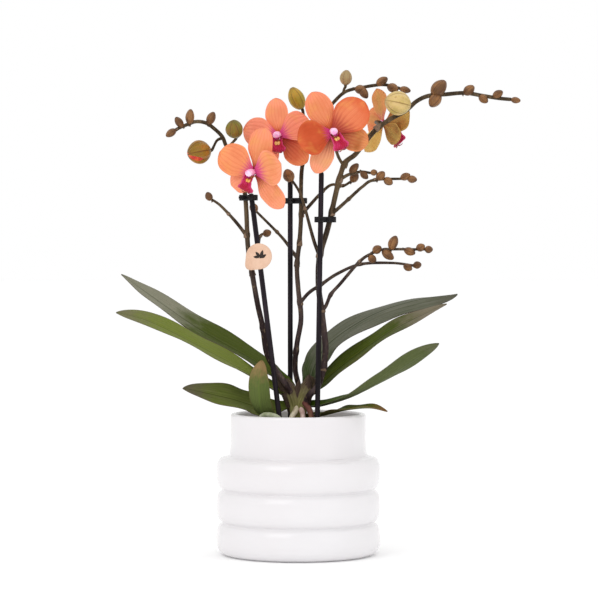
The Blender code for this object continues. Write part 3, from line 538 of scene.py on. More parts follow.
# large buds: foot, tip, radius, points of the stalk, and the spike it grows on
LARGE_BUDS = {
    "bud_opening": ((-65, -10, 209), (-81, -16, 206), 8.8, ((-56, -8, 218), (-60, -9, 216)), "spike_left"),
    "bud_left": ((-46, -16, 218.5), (-47.6, -24, 230), 6.4, ((-53, -8, 211), (-50, -11, 213)), "spike_left"),
    "bud_middle": ((2.6, 10, 240.5), (-5.0, 8, 256), 6.0, ((10, 9, 221), (5, 11, 231)), "spike_middle"),
    "bud_top": ((35, 9, 258), (36, 8, 269), 4.6, ((33, 9, 251), (34, 9.5, 255)), "spike_middle"),
    "bud_right": ((81.4, -20, 241), (63.6, -26, 245), 8.9, ((77, -10, 237), (81, -14, 239)), "spike_right"),
}

SPIKE_GIRTH = {"spike_left": 1.0, "spike_middle": 0.9, "spike_right": 1.08}

# centre, way it faces, roll, and its outer parts: direction, length, half width, bend of the tip, cupping
FLOWERS = {
    "flower_left": {
        "centre": (-32, -40, 192), "turn": -30, "lift": -10, "roll": -17, "spike": "spike_left",
        "stalk": ((-41.5, -12, 188), (-39, -18, 190)),
        "dorsal_sepal": (90, 33, 9.5, -0.1, 0.1), "sepal_left": (220, 26, 8.5, -0.16, 0.1),
        "sepal_right": (322, 33, 8.5, -0.1, 0.1), "petal_left": (162, 29, 12.0, 0.16, 0.15),
        "petal_right": (30, 26, 12.0, 0.1, 0.15),
    },
    "flower_middle": {
        "centre": (-14, -14, 219), "turn": -14, "lift": 2, "roll": 4, "spike": "spike_middle",
        "stalk": ((4, 3, 200), (-3, 0, 208)),
        "dorsal_sepal": (95, 29, 8.5, -0.1, 0.1), "sepal_left": (232, 26, 8.0, -0.12, 0.1),
        "sepal_right": (312, 28, 8.0, -0.06, 0.1), "petal_left": (166, 28, 10.5, -0.05, 0.12),
        "petal_right": (24, 26, 10.5, 0.1, 0.15),
    },
    "flower_front": {
        "centre": (25, -34, 221), "turn": 8, "lift": 0, "roll": 25, "spike": "spike_right",
        "stalk": ((33, -12, 198), (29, -16, 205)),
        "dorsal_sepal": (92, 33, 9.5, -0.08, 0.1), "sepal_left": (222, 32, 8.0, -0.05, 0.1),
        "sepal_right": (320, 28, 8.5, -0.1, 0.1), "petal_left": (169, 28, 11.5, 0.3, 0.2),
        "petal_right": (20, 32, 12.5, 0.12, 0.15),
    },
    "flower_right": {
        "centre": (64, 17, 230), "turn": 130, "lift": -4, "roll": -25, "spike": "spike_right",
        "stalk": ((58, -11, 225), (59, -3, 228)),
        "dorsal_sepal": (98, 27, 7.5, -0.04, 0.12), "sepal_left": (238, 26, 7.5, -0.1, 0.1),
        "sepal_right": (332, 26, 7.5, -0.1, 0.1), "petal_left": (188, 26, 10.0, 0.06, 0.15),
        "petal_right": (38, 25, 10.0, 0.1, 0.15),
    },
}

# how far in front of the flower's middle each outer part lies
FLOWER_LAYERS = {"dorsal_sepal": -1.3, "sepal_left": -1.3, "sepal_right": -1.3,
                 "petal_left": 0.9, "petal_right": 0.9}

CLIPS = {
    "clip_left": ("stake_left", "spike_left", 174),
    "clip_middle": ("stake_middle", "spike_middle", 172),
    "clip_right": ("stake_right", "spike_right", 158),
}

# ---------------------------------------------------------------- pot, liner and bark

def ring_radius(z):
    """Outside radius of the pot at a height, the rings meeting in soft grooves."""
    half = RING_PITCH * 0.5
    total = 0.0
    neck = POT_RIM_RADIUS + 1.4 * math.exp(-(z - SHOULDER) / 4.0)
    if z < SHOULDER:
        neck = 0.0
    for ring in range(RING_COUNT):
        place = (z - half - ring * RING_PITCH) / half
        if abs(place) >= 1.0:
            continue
        low = FOOT_RADIUS + 1.0 if ring == 0 and place < 0.0 else RING_VALLEY_RADIUS
        total = max(total, low + (RING_CREST_RADIUS - low) * (1.0 - abs(place) ** 2.5) ** 0.4)
    return max(total, neck)


def pot_outline():
    steps = 150
    outline = [(0.0, 0.0), (FOOT_RADIUS - 6.0, 0.0), (FOOT_RADIUS, 0.0), (FOOT_RADIUS + 2.4, 0.12)]
    raw = [0.3 + (POT_HEIGHT - 5.3) * i / steps for i in range(steps + 1)]
    radii = [ring_radius(z) for z in raw]
    for i, z in enumerate(raw):
        near = radii[max(i - 1, 0):i + 2] if 3 < i else [radii[i]]
        outline.append((sum(near) / len(near), z))
    lip = POT_WALL * 0.5
    for k in range(13):
        angle = math.pi * k / 12
        outline.append((POT_RIM_RADIUS - lip + lip * math.cos(angle),
                        POT_HEIGHT - lip + lip * math.sin(angle)))
    inner = POT_RIM_RADIUS - POT_WALL
    outline += [(inner, SHOULDER + 8.0), (inner + 1.4, SHOULDER + 1.0), (inner + 4.0, SHOULDER - 4.0)]
    for ring in (2, 1, 0):
        middle = (ring + 0.5) * RING_PITCH
        for place in (0.6, 0.3, 0.0, -0.3, -0.6, -0.95) if ring else (0.6, 0.3, 0.0, -0.3):
            swell = (1.0 - place * place) ** 0.5
            outline.append((RING_VALLEY_RADIUS - POT_WALL + 6.4 * swell, middle + place * RING_PITCH * 0.5))
    outline += [(POT_RIM_RADIUS + 1.0, POT_FLOOR + 1.6), (POT_RIM_RADIUS - 3.0, POT_FLOOR), (0.0, POT_FLOOR)]
    return outline


def lathe(outline, sides, unevenness=0.0):
    """A turned closed body; unevenness is in mm."""
    shape = Shape()
    rows = []
    for radius, z in outline:
        row = []
        for angle in full_turn(sides):
            ray = Vector((math.cos(angle), math.sin(angle), 0.0))
            spot = (ray * max(radius, 0.02) + Vector((0.0, 0.0, z))) * MM
            row.append(spot + ray * lumps(spot, 22.0, 1) * unevenness * MM)
        rows.append(row)
    shape.sheet(rows, closed=True)
    return shape


def glaze_look():
    look = Look("white_glaze", 0.16, 0.5, Coat_Weight=0.35, Coat_Roughness=0.06)
    wash = look.noise(9.0, 4.0)
    pits = look.noise(420.0, 2.0)
    colour = look.coat((0.775, 0.75, 0.765), (0.8, 0.785, 0.8), wash, 0.35, 0.7)
    specks = look.fade(look.cells(260.0), 0.02, 0.06, 0.35, 0.0)
    colour = look.mix(specks, colour, (0.7, 0.68, 0.68))
    waviness = look.math("MULTIPLY", look.noise(38.0, 2.0), 0.6)
    relief = look.math("ADD", waviness, look.math("MULTIPLY", pits, 0.08))
    return look.finish(colour, relief, 0.00025, look.fade(wash, 0.3, 0.75, 0.13, 0.22))


def plastic_liner_look():
    look = Look("clear_plastic", 0.18, 0.5, Transmission_Weight=0.85, IOR=1.45)
    scuff = look.noise(160.0, 4.0, (1.0, 1.0, 0.2))
    colour = look.coat((0.82, 0.84, 0.8), (0.6, 0.6, 0.52), scuff, 0.4, 0.7)
    return look.finish(colour, scuff, 0.0001, look.fade(scuff, 0.35, 0.75, 0.12, 0.4))


def carve(target, cutters):
    """Take the cutters out of a piece for good."""
    for cutter in cutters:
        step = target.modifiers.new("carve", "BOOLEAN")
        step.operation = "DIFFERENCE"
        step.solver = "EXACT"
        step.object = cutter
    bpy.context.view_layer.update()
    graph = bpy.context.evaluated_depsgraph_get()
    mesh = bpy.data.meshes.new_from_object(target.evaluated_get(graph))
    target.modifiers.clear()
    target.data = mesh
    for cutter in cutters:
        bpy.data.objects.remove(cutter, do_unlink=True)


def build_pots():
    pot = lathe(pot_outline(), 160, 0.12)
    pot.piece("cover_pot", [glaze_look()], "white_glaze", "pot")
    low, high = NURSERY_BOTTOM_RADIUS, NURSERY_TOP_RADIUS
    body = high - 1.4
    outline = [(0.0, NURSERY_BASE), (low - 2.4, NURSERY_BASE), (low - 0.7, NURSERY_BASE + 0.5),
               (low, NURSERY_BASE + 1.9)]
    for share in (0.2, 0.4, 0.6, 0.8, 1.0):
        step = low + (body - low) * share
        z = NURSERY_BASE + 1.9 + (NURSERY_TOP - 3.0 - NURSERY_BASE - 1.9) * share
        outline += [(step - 0.25, z - 0.4), (step, z)]
    outline += [(high - 0.4, NURSERY_TOP - 2.4), (high, NURSERY_TOP - 2.0), (high, NURSERY_TOP - 0.4),
                (high - 0.4, NURSERY_TOP), (body - 0.7, NURSERY_TOP), (body - 1.0, NURSERY_TOP - 0.4),
                (body - 1.0, NURSERY_TOP - 3.0), (low - 1.0, NURSERY_BASE + 2.4),
                (low - 2.4, NURSERY_BASE + 1.0),
                (0.0, NURSERY_BASE + 1.0)]
    liner = lathe(outline, 96).piece("nursery_liner", [plastic_liner_look()], "clear_plastic", "nursery_pot")
    drains = []
    for angle in full_turn(DRAIN_COUNT):
        x, y = DRAIN_RING_RADIUS * math.cos(angle), DRAIN_RING_RADIUS * math.sin(angle)
        cut = Shape()
        bore = [Vector((x, y, NURSERY_BASE + z)) * MM for z in (-2.0, 1.0, 4.0)]
        cut.tube(bore, lambda t: DRAIN_RADIUS * MM, 24)
        hole = bpy.data.objects.new("drain", cut.mesh("drain", []))
        bpy.context.scene.collection.objects.link(hole)
        drains.append(hole)
    carve(liner, drains)


def bark_look():
    look = Look("bark", 0.85, 0.3)
    tone = look.noise(70.0, 3.0)
    fibre = look.noise(420.0, 5.0, (1.0, 0.25, 0.6), distortion=0.6)
    colour = look.coat((0.05, 0.022, 0.012), (0.2, 0.1, 0.05), tone, 0.35, 0.65)
    colour = look.coat(colour, (0.32, 0.2, 0.11), fibre, 0.45, 0.7, 0.75)
    colour = look.coat(colour, (0.08, 0.1, 0.03), look.noise(38.0, 4.0), 0.62, 0.75, 0.6)
    return look.finish(colour, fibre, 0.0009)


def build_bark():
    """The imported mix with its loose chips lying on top."""
    shape = Shape()
    low = NURSERY_BOTTOM_RADIUS - 1.3
    top = NURSERY_TOP_RADIUS - 3.0
    rows = []
    for radius, z, lump in ((0.0, 6.8, 0.0), (low - 2.0, 6.8, 0.0), (low, 9.0, 0.0), (top - 1.2, 82.0, 0.0),
                            (top - 0.8, 87.0, 0.4), (top * 0.93, 88.6, 1.0), (top * 0.75, 88.8, 1.4),
                            (top * 0.55, 89.0, 1.4), (top * 0.35, 89.0, 1.4), (top * 0.15, 89.2, 1.4),
                            (0.0, 89.4, 1.4)):
        row = []
        for angle in full_turn(72):
            spot = Vector((max(radius, 0.02) * math.cos(angle), max(radius, 0.02) * math.sin(angle), z)) * MM
            row.append(spot + Vector((0.0, 0.0, lumps(spot, 6.0, 2) * lump * MM)))
        rows.append(row)
    shape.sheet(rows, closed=True)
    for i in range(CHIP_COUNT):
        reach = (top - 4.2) * math.sqrt((i + 0.5) / CHIP_COUNT)
        angle = i * CHIP_TURN + scatter(i, 0) * 0.5
        spot = Vector((reach * math.cos(angle), reach * math.sin(angle), 89.2 + 1.5 * scatter(i, 1))) * MM
        turn = Matrix.Rotation(scatter(i, 2) * 6.283, 3, "Z")
        turn = turn @ Matrix.Rotation((scatter(i, 3) - 0.5) * 0.9, 3, "X")
        sizes = [(2.0 + 3.4 * scatter(i, 4)) * MM, (1.6 + 1.9 * scatter(i, 5)) * MM,
                 (0.7 + 0.8 * scatter(i, 6)) * MM]
        chip(shape, spot, sizes, turn, i)
    shape.piece("bark_chips", [bark_look()], "bark", "bark_mix")


def chip(shape, centre, sizes, turn, seed):
    """One broken flake: a flat slab with a ragged outline."""
    sides = 7
    rows = []
    for level, share in ((-1.0, 0.5), (-0.7, 0.92), (0.6, 1.0), (1.0, 0.6)):
        row = []
        for k, angle in enumerate(full_turn(sides)):
            ragged = share * (0.72 + 0.56 * scatter(seed * 11 + k, 7))
            x, y = sizes[0] * ragged * math.cos(angle), sizes[1] * ragged * math.sin(angle)
            row.append(centre + turn @ Vector((x, y, sizes[2] * level)))
        rows.append(row)
    start = shape.sheet(rows, closed=True)
    for first in (start, start + 3 * sides):
        shape.face(tuple(first + k for k in range(sides)), tuple((0.5, 0.5) for _ in range(sides)), 0)


# ---------------------------------------------------------------- roots, crown and stakes

def root_look(name, pale, shade, tip):
    look = Look(name, 0.7, 0.25)
    patch = look.noise(190.0, 4.0, (1.0, 1.0, 0.6))
    pores = look.cells(1100.0, (1.0, 1.0, 0.5))
    colour = look.coat(shade, pale, patch, 0.35, 0.68)
    colour = look.coat(colour, tip, look.noise(70.0, 2.0), 0.55, 0.72, 0.8)
    colour = look.coat(colour, scaled(shade, 0.5), pores, 0.0, 0.35, 0.0, 0.3)
    return look.finish(colour, pores, 0.00025)


ROOT_COLOURS = {
    "root_front": ((0.72, 0.64, 0.48), (0.46, 0.38, 0.25), (0.42, 0.4, 0.2)),
    "root_arch": ((0.55, 0.56, 0.42), (0.3, 0.33, 0.2), (0.22, 0.28, 0.1)),
    "root_right": ((0.72, 0.56, 0.5), (0.5, 0.32, 0.27), (0.45, 0.2, 0.16)),
    "root_bract": ((0.22, 0.08, 0.055), (0.1, 0.03, 0.026), (0.27, 0.17, 0.08)),
}


def build_roots():
    for number, (name, points) in enumerate(ROOTS.items()):
        shape = Shape()
        inward = plant_points(*points)
        if name != "root_arch":
            inward.insert(0, inward[0].lerp(plant_point(0, -2, points[0][2] + 6), 0.6))
        path = smooth_path(inward, 60)

        def radius_at(t, path=path, number=number):
            spot = path[round(t * 59)]
            return ROOT_RADIUS * (1.0 + 0.13 * lumps(spot, 4.0, number) + 0.05 * lumps(spot, 1.4, 9)) * MM
        shape.tube(path, radius_at, 20)
        shape.piece("aerial_" + name, [root_look("skin_" + name, *ROOT_COLOURS[name])], "root_silver", name)


def crown_look():
    look = Look("crown_green", 0.42, 0.15)
    u, v = look.grain()
    wander = look.noise(5.0, 3.0, (1.0, 0.3, 1.0), "UV")
    rib = look.stripes(u, 14.0, wander)
    patch = look.noise(75.0, 3.0)
    colour = look.coat((0.21, 0.195, 0.06), (0.35, 0.33, 0.13), patch, 0.35, 0.65)
    colour = look.coat(colour, (0.09, 0.075, 0.025), rib, 0.2, 0.9, 0.0, 0.24)
    colour = look.coat(colour, (0.075, 0.04, 0.034), v, 0.55, 0.9, 0.85)
    colour = look.coat(colour, (0.09, 0.035, 0.045), look.noise(120.0, 2.0), 0.58, 0.72, 0.6)
    return look.finish(colour, rib, 0.0005)


def sheath_look():
    look = Look("dry_sheath", 0.7, 0.2)
    fibre = look.noise(40.0, 4.0, (6.0, 0.5, 1.0), "UV")
    colour = look.coat((0.045, 0.026, 0.02), (0.13, 0.085, 0.06), fibre, 0.35, 0.7)
    return look.finish(colour, fibre, 0.0004)


def build_crown():
    """Short stem that parts into the two rows of clasping leaf bases, with old sheaths round it."""
    shape = Shape()
    arms = (
        (((0.6, -2, -8), (-0.6, -3, 6), (-1.6, -3.4, 18), (-4.6, -2.6, 29), (-10.5, -0.5, 39)),
         (5.0, 4.6, 4.8, 5.4, 3.4)),
        (((0.8, -2, -8), (0.8, -3, 6), (0.9, -3.6, 18), (4.6, -2.4, 29), (9.6, 2.4, 41)),
         (5.0, 4.8, 5.2, 5.8, 3.6)),
        (((0.0, -1, 4), (-0.4, -1.5, 16), (0.2, 0.5, 24), (0.6, 3, 31)), (5.2, 5.6, 5.0, 2.0)),
    )
    for points, sizes in arms:
        path = smooth_path(plant_points(*points), 46)

        def radius_at(t, sizes=sizes):
            place = t * (len(sizes) - 1)
            index = min(int(place), len(sizes) - 2)
            share = place - index
            share = share * share * (3.0 - 2.0 * share)
            return (sizes[index] + (sizes[index + 1] - sizes[index]) * share) * MM

        def fluting(angle, t):
            return 1.0 + 0.055 * math.cos(11.0 * angle) + 0.03 * math.cos(5.0 * angle + 8.0 * t)
        shape.tube(path, radius_at, 56, section=fluting)
    wraps = (((-3, -5, 16), (-7, -6.4, 26), (-13, -6, 37), (-17.5, -5, 43), 4.6),
             ((4, -5, 17), (6.4, -6.6, 26), (7.8, -6, 36), (8.2, -4, 44), 3.8),
             ((-1.0, -6.6, 18), (-1.4, -7.6, 25), (-0.8, -7.4, 32), (0.6, -6.4, 40), 3.0))
    for first, second, third, fourth, width in wraps:
        rows, steps = [], []
        at = curve(plant_points(first, second, third, fourth))
        for i in range(25):
            t = i / 24
            point, along = at(t)
            out = Vector((0.1 * math.copysign(1.0, point.x), -1.0, 0.1))
            out = (out - along * out.dot(along)).normalized()
            side = along.cross(out)
            half = width * (1.0 - t ** 2.2) ** 0.7 * MM + 0.1 * MM
            row = []
            for j in range(13):
                v = j / 6.0 - 1.0
                spot = point + side * half * v - out * half * 0.55 * v * v
                spot += out * 0.12 * MM * math.cos(v * 16.0)
                row.append((spot, out, 0.28 * MM * (1.0 - 0.6 * abs(v))))
            rows.append(row)
            steps.append(t)
        shape.blade(rows, steps, 1, 1)
    shape.piece("leafy_crown", [crown_look(), sheath_look()], "crown_green", "crown")


def stake_look():
    look = Look("stake_black", 0.35, 0.1)
    grain = look.noise(300.0, 3.0, (1.0, 1.0, 0.06))
    colour = look.coat((0.008, 0.006, 0.008), (0.026, 0.018, 0.025), grain, 0.35, 0.7)
    return look.finish(colour, grain, 0.00012, look.fade(grain, 0.3, 0.7, 0.26, 0.42))


def stake_line(name):
    low, top = plant_points(*STAKES[name])
    direction = (top - low) / (top.z - low.z)
    return low + direction * ((BARK_TOP - STAKE_DEPTH) * MM - low.z), top


def build_stakes():
    finish = stake_look()
    for name in STAKES:
        foot, top = stake_line(name)
        shares = [0.0, 0.004] + [i / 24 for i in range(1, 24)] + [0.992, 0.996, 0.999, 1.0]
        path = [foot.lerp(top, t) for t in shares]
        count = len(path) - 1
        ends = {0: 0.55, 1: 1.0, count - 2: 0.93, count - 1: 0.75, count: 0.35}
        shape = Shape()
        shape.tube(path, lambda t: STAKE_RADIUS * MM * ends.get(round(t * count), 1.0), 28)
        shape.piece("support_" + name, [finish], "stake_black", name)


def clip_look():
    look = Look("clip_black", 0.45, 0.12)
    grain = look.noise(900.0, 2.0)
    colour = look.coat((0.007, 0.007, 0.008), (0.022, 0.02, 0.022), grain, 0.3, 0.7)
    return look.finish(colour, grain, 0.0001)


def point_at_height(path, z):
    for low, high in zip(path, path[1:]):
        if low.z <= z <= high.z:
            return low.lerp(high, (z - low.z) / (high.z - low.z))
    return path[-1]


def build_clips():
    """A sprung band round stake and stem, nipped in between them, with two finger tabs."""
    finish = clip_look()
    for name, (stake, spike, height) in CLIPS.items():
        z = (BARK_TOP + height) * MM
        post = point_at_height(list(stake_line(stake)), z)
        stem = point_at_height(smooth_path(plant_points(*SPIKES[spike]), 200), z)
        axis = stem - post
        axis.z = 0.0
        axis.normalize()
        side = Vector((-axis.y, axis.x, 0.0))
        outer = (SPIKE_RADIUS + 2.3) * MM
        shape = Shape()
        ring = []
        for angle in full_turn(96):
            middle = post if math.cos(angle) < 0.0 else stem
            reach = axis * math.cos(angle) + side * math.sin(angle)
            nip = 1.0 - 0.28 * bell(math.cos(angle), 0.0, 0.3)
            ring.append((Vector((middle.x, middle.y, z)), reach, outer * nip))
        half = CLIP_HEIGHT * 0.5 * MM
        wall = 1.7 * MM
        section = ((-0.85, 0.0), (-1.0, 0.15), (-1.0, 0.85), (-0.85, 1.0),
                   (0.85, 1.0), (1.0, 0.85), (1.0, 0.15), (0.85, 0.0))
        rows = []
        for level, depth in section + section[:1]:
            rows.append([middle + reach * (radius - wall * (1.0 - depth)) + Vector((0.0, 0.0, half * level))
                         for middle, reach, radius in ring])
        shape.sheet(rows, closed=True)
        centre = post.lerp(stem, 0.5)
        for way in (1.0, -1.0):
            rows, steps = [], []
            for i in range(9):
                t = i / 8
                spot = Vector((centre.x, centre.y, z)) + side * way * (outer * 0.55 + 5.2 * t * MM)
                spot += axis * 1.2 * t * t * MM
                rise = half * 0.8 * (1.0 - 0.5 * t * t)
                rows.append([(spot + Vector((0.0, 0.0, rise * v)), axis, 0.55 * MM)
                             for v in (-1.0, -0.9, -0.3, 0.3, 0.9, 1.0)])
                steps.append(t)
            shape.blade(rows, steps, 0, 0)
        shape.piece("spring_" + name, [finish], "clip_black", name)


# ---------------------------------------------------------------- leaves

# main, base, tip colour, where the tip colour starts, edge, patch colour and how much of it shows
LEAF_LOOKS = {
    "leaf_back_left": ((0.06, 0.08, 0.012), (0.05, 0.075, 0.006), (0.27, 0.26, 0.2), 0.5, (0.08, 0.05, 0.045),
                       (0.12, 0.1, 0.06), 0.2),
    "leaf_left": ((0.155, 0.19, 0.035), (0.145, 0.2, 0.008), (0.16, 0.14, 0.09), 0.74, (0.1, 0.07, 0.04),
                  (0.19, 0.17, 0.06), 0.3),
    "leaf_low_left": ((0.15, 0.18, 0.045), (0.1, 0.14, 0.015), (0.15, 0.12, 0.09), 0.7, (0.11, 0.055, 0.05),
                      (0.2, 0.19, 0.09), 0.45),
    "leaf_front": ((0.085, 0.14, 0.006), (0.065, 0.12, 0.004), (0.42, 0.23, 0.09), 0.72, (0.16, 0.09, 0.03),
                   (0.11, 0.16, 0.015), 0.25),
    # leaf_back_right: its grey main and pale grey patch colours are the leaf's green with a painted sheen
    "leaf_back_right": ((0.12, 0.125, 0.088), (0.035, 0.06, 0.01), (0.1, 0.095, 0.07), 0.8,
                        (0.06, 0.04, 0.035),
                        (0.19, 0.19, 0.15), 0.5),
    "leaf_right": ((0.06, 0.082, 0.01), (0.032, 0.05, 0.004), (0.22, 0.18, 0.13), 0.62, (0.08, 0.05, 0.03),
                   (0.17, 0.1, 0.04), 0.25),
    "leaf_twisted_right": ((0.058, 0.098, 0.006), (0.034, 0.062, 0.003), (0.12, 0.13, 0.06), 0.86,
                           (0.12, 0.12, 0.08),
                           (0.12, 0.15, 0.05), 0.25),
    "leaf_low_right": ((0.09, 0.12, 0.012), (0.075, 0.11, 0.01), (0.3, 0.13, 0.06), 0.74, (0.17, 0.09, 0.03),
                       (0.26, 0.16, 0.05), 0.35),
}


def leaf_look(name, main, base, tip, tip_start, edge, patch, patchy, under):
    look = Look(name, 0.44, 0.02)
    u, v = look.grain()
    wander = look.noise(2.2, 3.0, (1.0, 2.5, 1.0), "UV")
    fine = look.noise(900.0, 3.0)
    vein = look.stripes(u, 13.0, look.math("MULTIPLY", wander, 0.4))
    hair = look.stripes(u, 41.0, look.math("MULTIPLY", wander, 0.8))
    ragged = look.math("MULTIPLY_ADD", look.noise(3.0, 4.0, (1.5, 4.0, 1.0), "UV"), 0.34, -0.17)
    place = look.math("ADD", v, ragged)
    colour = look.coat(base, main, place, 0.0, 0.3)
    streak = look.noise(4.0, 4.0, (3.0, 0.9, 1.0), "UV", 0.4)
    colour = look.coat(colour, patch, streak, 0.5, 0.72, patchy)
    colour = look.coat(colour, scaled(base, 0.72), streak, 0.46, 0.25, 0.45)
    colour = look.coat(colour, tip, place, tip_start, min(tip_start + 0.26, 1.0), 0.9)
    colour = look.coat(colour, scaled(main, 1.7), vein, 0.35, 0.95, 0.16)
    colour = look.coat(colour, scaled(base, 0.5), hair, 0.2, 0.9, 0.0, 0.16)
    middle = look.math("ABSOLUTE", look.math("ADD", u, -0.5))
    # on the top side a narrow dark line of painted shade lies in the midrib crease; on the underside the
    # midrib is paler
    colour = look.coat(colour, scaled(base, 0.45 if not under else 1.7), middle, 0.004, 0.022, 0.0, 0.7)
    margin = look.math("ADD", middle, look.math("MULTIPLY", ragged, 0.06))
    colour = look.coat(colour, edge, margin, 0.445, 0.495, 0.9)
    colour = look.coat(colour, scaled(edge, 0.8), look.noise(330.0, 2.0), 0.68, 0.76, 0.5)
    if under:
        colour = look.mix(0.3, colour, (0.17, 0.15, 0.12))
    relief = look.math("ADD", look.math("MULTIPLY", vein, 0.6), look.math("MULTIPLY", fine, 0.5))
    return look.finish(colour, relief, 0.00016, look.fade(fine, 0.3, 0.7, 0.4, 0.56))


def leaf_outline(t, blunt):
    """Half width along a leaf, 0..1: a narrow clasping base, full middle, blunt tip."""
    if t < 0.5:
        return 0.3 + 0.7 * math.sin(math.pi * t) ** 1.15
    s = (t - 0.5) / 0.5
    return max((1.0 - s ** blunt) ** 0.72, 0.02)


TIP_BLUNTNESS = {"leaf_front": 3.6, "leaf_back_left": 2.3, "leaf_low_right": 4.0, "leaf_left": 4.0,
                 "leaf_right": 3.0, "leaf_low_left": 2.4}


def build_leaves():
    for number, (name, shape_of) in enumerate(LEAVES.items()):
        points, half_width, fold_base, fold_tip, tilt_base, tilt_tip = shape_of
        line = plant_points(*points)
        line.insert(0, line[0] + (line[0] - line[1]).normalized() * 5.0 * MM + Vector((0.0, 0.0, -2.0)) * MM)
        at = curve(line)
        rows, steps = [], []
        last_side = Vector((0.0, -1.0, 0.0))
        count, across = 84, 28
        for i in range(count + 1):
            t = 1.0 - (1.0 - i / count) ** 1.5
            point, tangent = at(t)
            side = tangent.cross(Vector((0.0, 0.0, 1.0))).normalized()
            if side.dot(last_side) < 0.0:
                side = -side
            last_side = side
            up = side.cross(tangent)
            if up.z < 0.0:
                up = -up
            tilt = math.radians(tilt_base + (tilt_tip - tilt_base) * t)
            level_up = up * math.cos(tilt) + side * math.sin(tilt)
            level_side = side * math.cos(tilt) - up * math.sin(tilt)
            clasp = 42.0 * bell(t, 0.0, 0.09)
            rise = math.radians(fold_base + (fold_tip - fold_base) * t + clasp)
            half = half_width * leaf_outline(t, TIP_BLUNTNESS.get(name, PLAIN_TIP)) * MM
            row = []
            for j in range(across + 1):
                v = math.sin(math.pi * 0.5 * (2.0 * j / across - 1.0)) * 0.6 + (2.0 * j / across - 1.0) * 0.4
                soft = math.sqrt(v * v + 0.004) - 0.063
                beat = math.sin(t * 17.0 + number * 1.7 + (1.5 if v > 0 else 0.0))
                wave = 0.7 * MM * abs(v) ** 3 * beat * (t * (1.0 - t) * 4.0)
                flank = level_side * math.cos(rise) * v + level_up * math.sin(rise) * soft
                spot = point + flank * half + level_up * (wave - 0.45 * MM * bell(v, 0.0, 0.05) * (1.0 - t))
                spot += level_up * 0.16 * MM * math.cos(v * 20.0) * (1.0 - abs(v))
                thin = 0.5 * LEAF_THICKNESS * MM * max(1.0 - abs(v) ** 2.5 * 0.8, 0.0) * (1.0 - 0.5 * t)
                row.append((spot, level_up, thin))
            rows.append(row)
            steps.append(t)
        looks = [leaf_look(name + ("_under" if under else "_top"), *LEAF_LOOKS[name], under)
                 for under in (False, True)]
        shape = Shape()
        shape.blade(rows, steps)
        slot = "leaf_dark" if "back" in name else "leaf_green"
        shape.piece(name.replace("leaf", "blade"), looks, slot, name)


# ---------------------------------------------------------------- flower spikes and buds

def stem_look():
    look = Look("spike_skin", 0.42, 0.1)
    rise = look.height()
    speck = look.noise(620.0, 3.0, (1.0, 1.0, 0.45))
    streak = look.noise(130.0, 4.0, (1.0, 1.0, 0.14))
    low = look.coat((0.022, 0.012, 0.013), (0.075, 0.05, 0.05), streak, 0.35, 0.68)
    high = look.coat((0.034, 0.022, 0.012), (0.115, 0.078, 0.04), streak, 0.35, 0.68)
    colour = look.coat(low, high, look.math("MULTIPLY_ADD", streak, 0.03, rise), 0.17, 0.3)
    colour = look.coat(colour, (0.24, 0.17, 0.1), speck, 0.56, 0.72, 0.5)
    colour = look.coat(colour, (0.015, 0.009, 0.008), speck, 0.42, 0.28, 0.6)
    return look.finish(colour, look.math("ADD", streak, look.math("MULTIPLY", speck, 0.4)), 0.0002)


def bract_look():
    look = Look("bract_tan", 0.6, 0.2)
    fibre = look.noise(6.0, 3.0, (8.0, 1.0, 1.0), "UV")
    colour = look.coat((0.12, 0.07, 0.045), (0.3, 0.2, 0.13), fibre, 0.3, 0.7)
    return look.finish(colour, fibre, 0.0002)


def bud_look(name, green, warm, dark, warmth):
    """Seams and fine ribs from foot to tip, warmer and darker in patches."""
    look = Look(name, 0.34, 0.22)
    u, v = look.grain()
    wander = look.noise(2.6, 3.0, (1.0, 1.0, 1.0), "UV")
    rib = look.stripes(u, 12.0, look.math("MULTIPLY", wander, 0.3))
    seam = look.math("SINE", look.math("MULTIPLY", u, 6.0 * math.pi))
    patch = look.noise(120.0, 3.0)
    colour = look.coat(green, warm, patch, 0.36, 0.66)
    colour = look.coat(colour, scaled(green, 1.35), rib, 0.3, 0.95, 0.3)
    colour = look.coat(colour, dark, look.math("ABSOLUTE", seam), 0.26, 0.02, 0.75)
    colour = look.coat(colour, dark, v, 0.72, 1.0, warmth)
    colour = look.coat(colour, dark, v, 0.2, 0.0, 0.7)
    colour = look.coat(colour, scaled(dark, 1.4), look.noise(480.0, 2.0), 0.6, 0.72, 0.45)
    return look.finish(colour, look.math("ADD", rib, look.math("MULTIPLY", patch, 0.5)), 0.0002)


# where round the half open bud its sepals part
SLIT_ANGLE = 2.2


def bud_body(shape, foot, tip, radius, finish=0, sides=36, rings=26, gape=0.0):
    """Three sepals shut over each other: lobed in section, grooved at the seams."""
    start, end = plant_point(*foot), plant_point(*tip)
    shares = [0.5 - 0.5 * math.cos(math.pi * i / rings) for i in range(rings + 1)]
    path = [start.lerp(end, share) for share in shares]

    def radius_at(t):
        s = 0.03 + 0.955 * (0.5 - 0.5 * math.cos(math.pi * t))
        return radius * MM * math.sin(math.pi * s ** 0.93) ** 0.56

    def section(angle, t):
        groove = sum(bell(abs(math.remainder(angle - middle, 2.0 * math.pi)), 0.0, 0.1)
                     for middle in (0.0, 2.0 * math.pi / 3.0, 4.0 * math.pi / 3.0))
        from_slit = abs(math.remainder(angle - SLIT_ANGLE, 2.0 * math.pi))
        open_slit = gape * bell(from_slit, 0.0, 0.42) * bell(t, 0.8, 0.32)
        return 1.0 + 0.035 * math.cos(3.0 * angle + math.pi) - 0.06 * groove - open_slit
    shape.tube(path, radius_at, sides, finish, section)


def small_bud_look():
    return bud_look("small_bud", (0.125, 0.058, 0.022), (0.3, 0.14, 0.05), (0.06, 0.014, 0.012), 0.45)


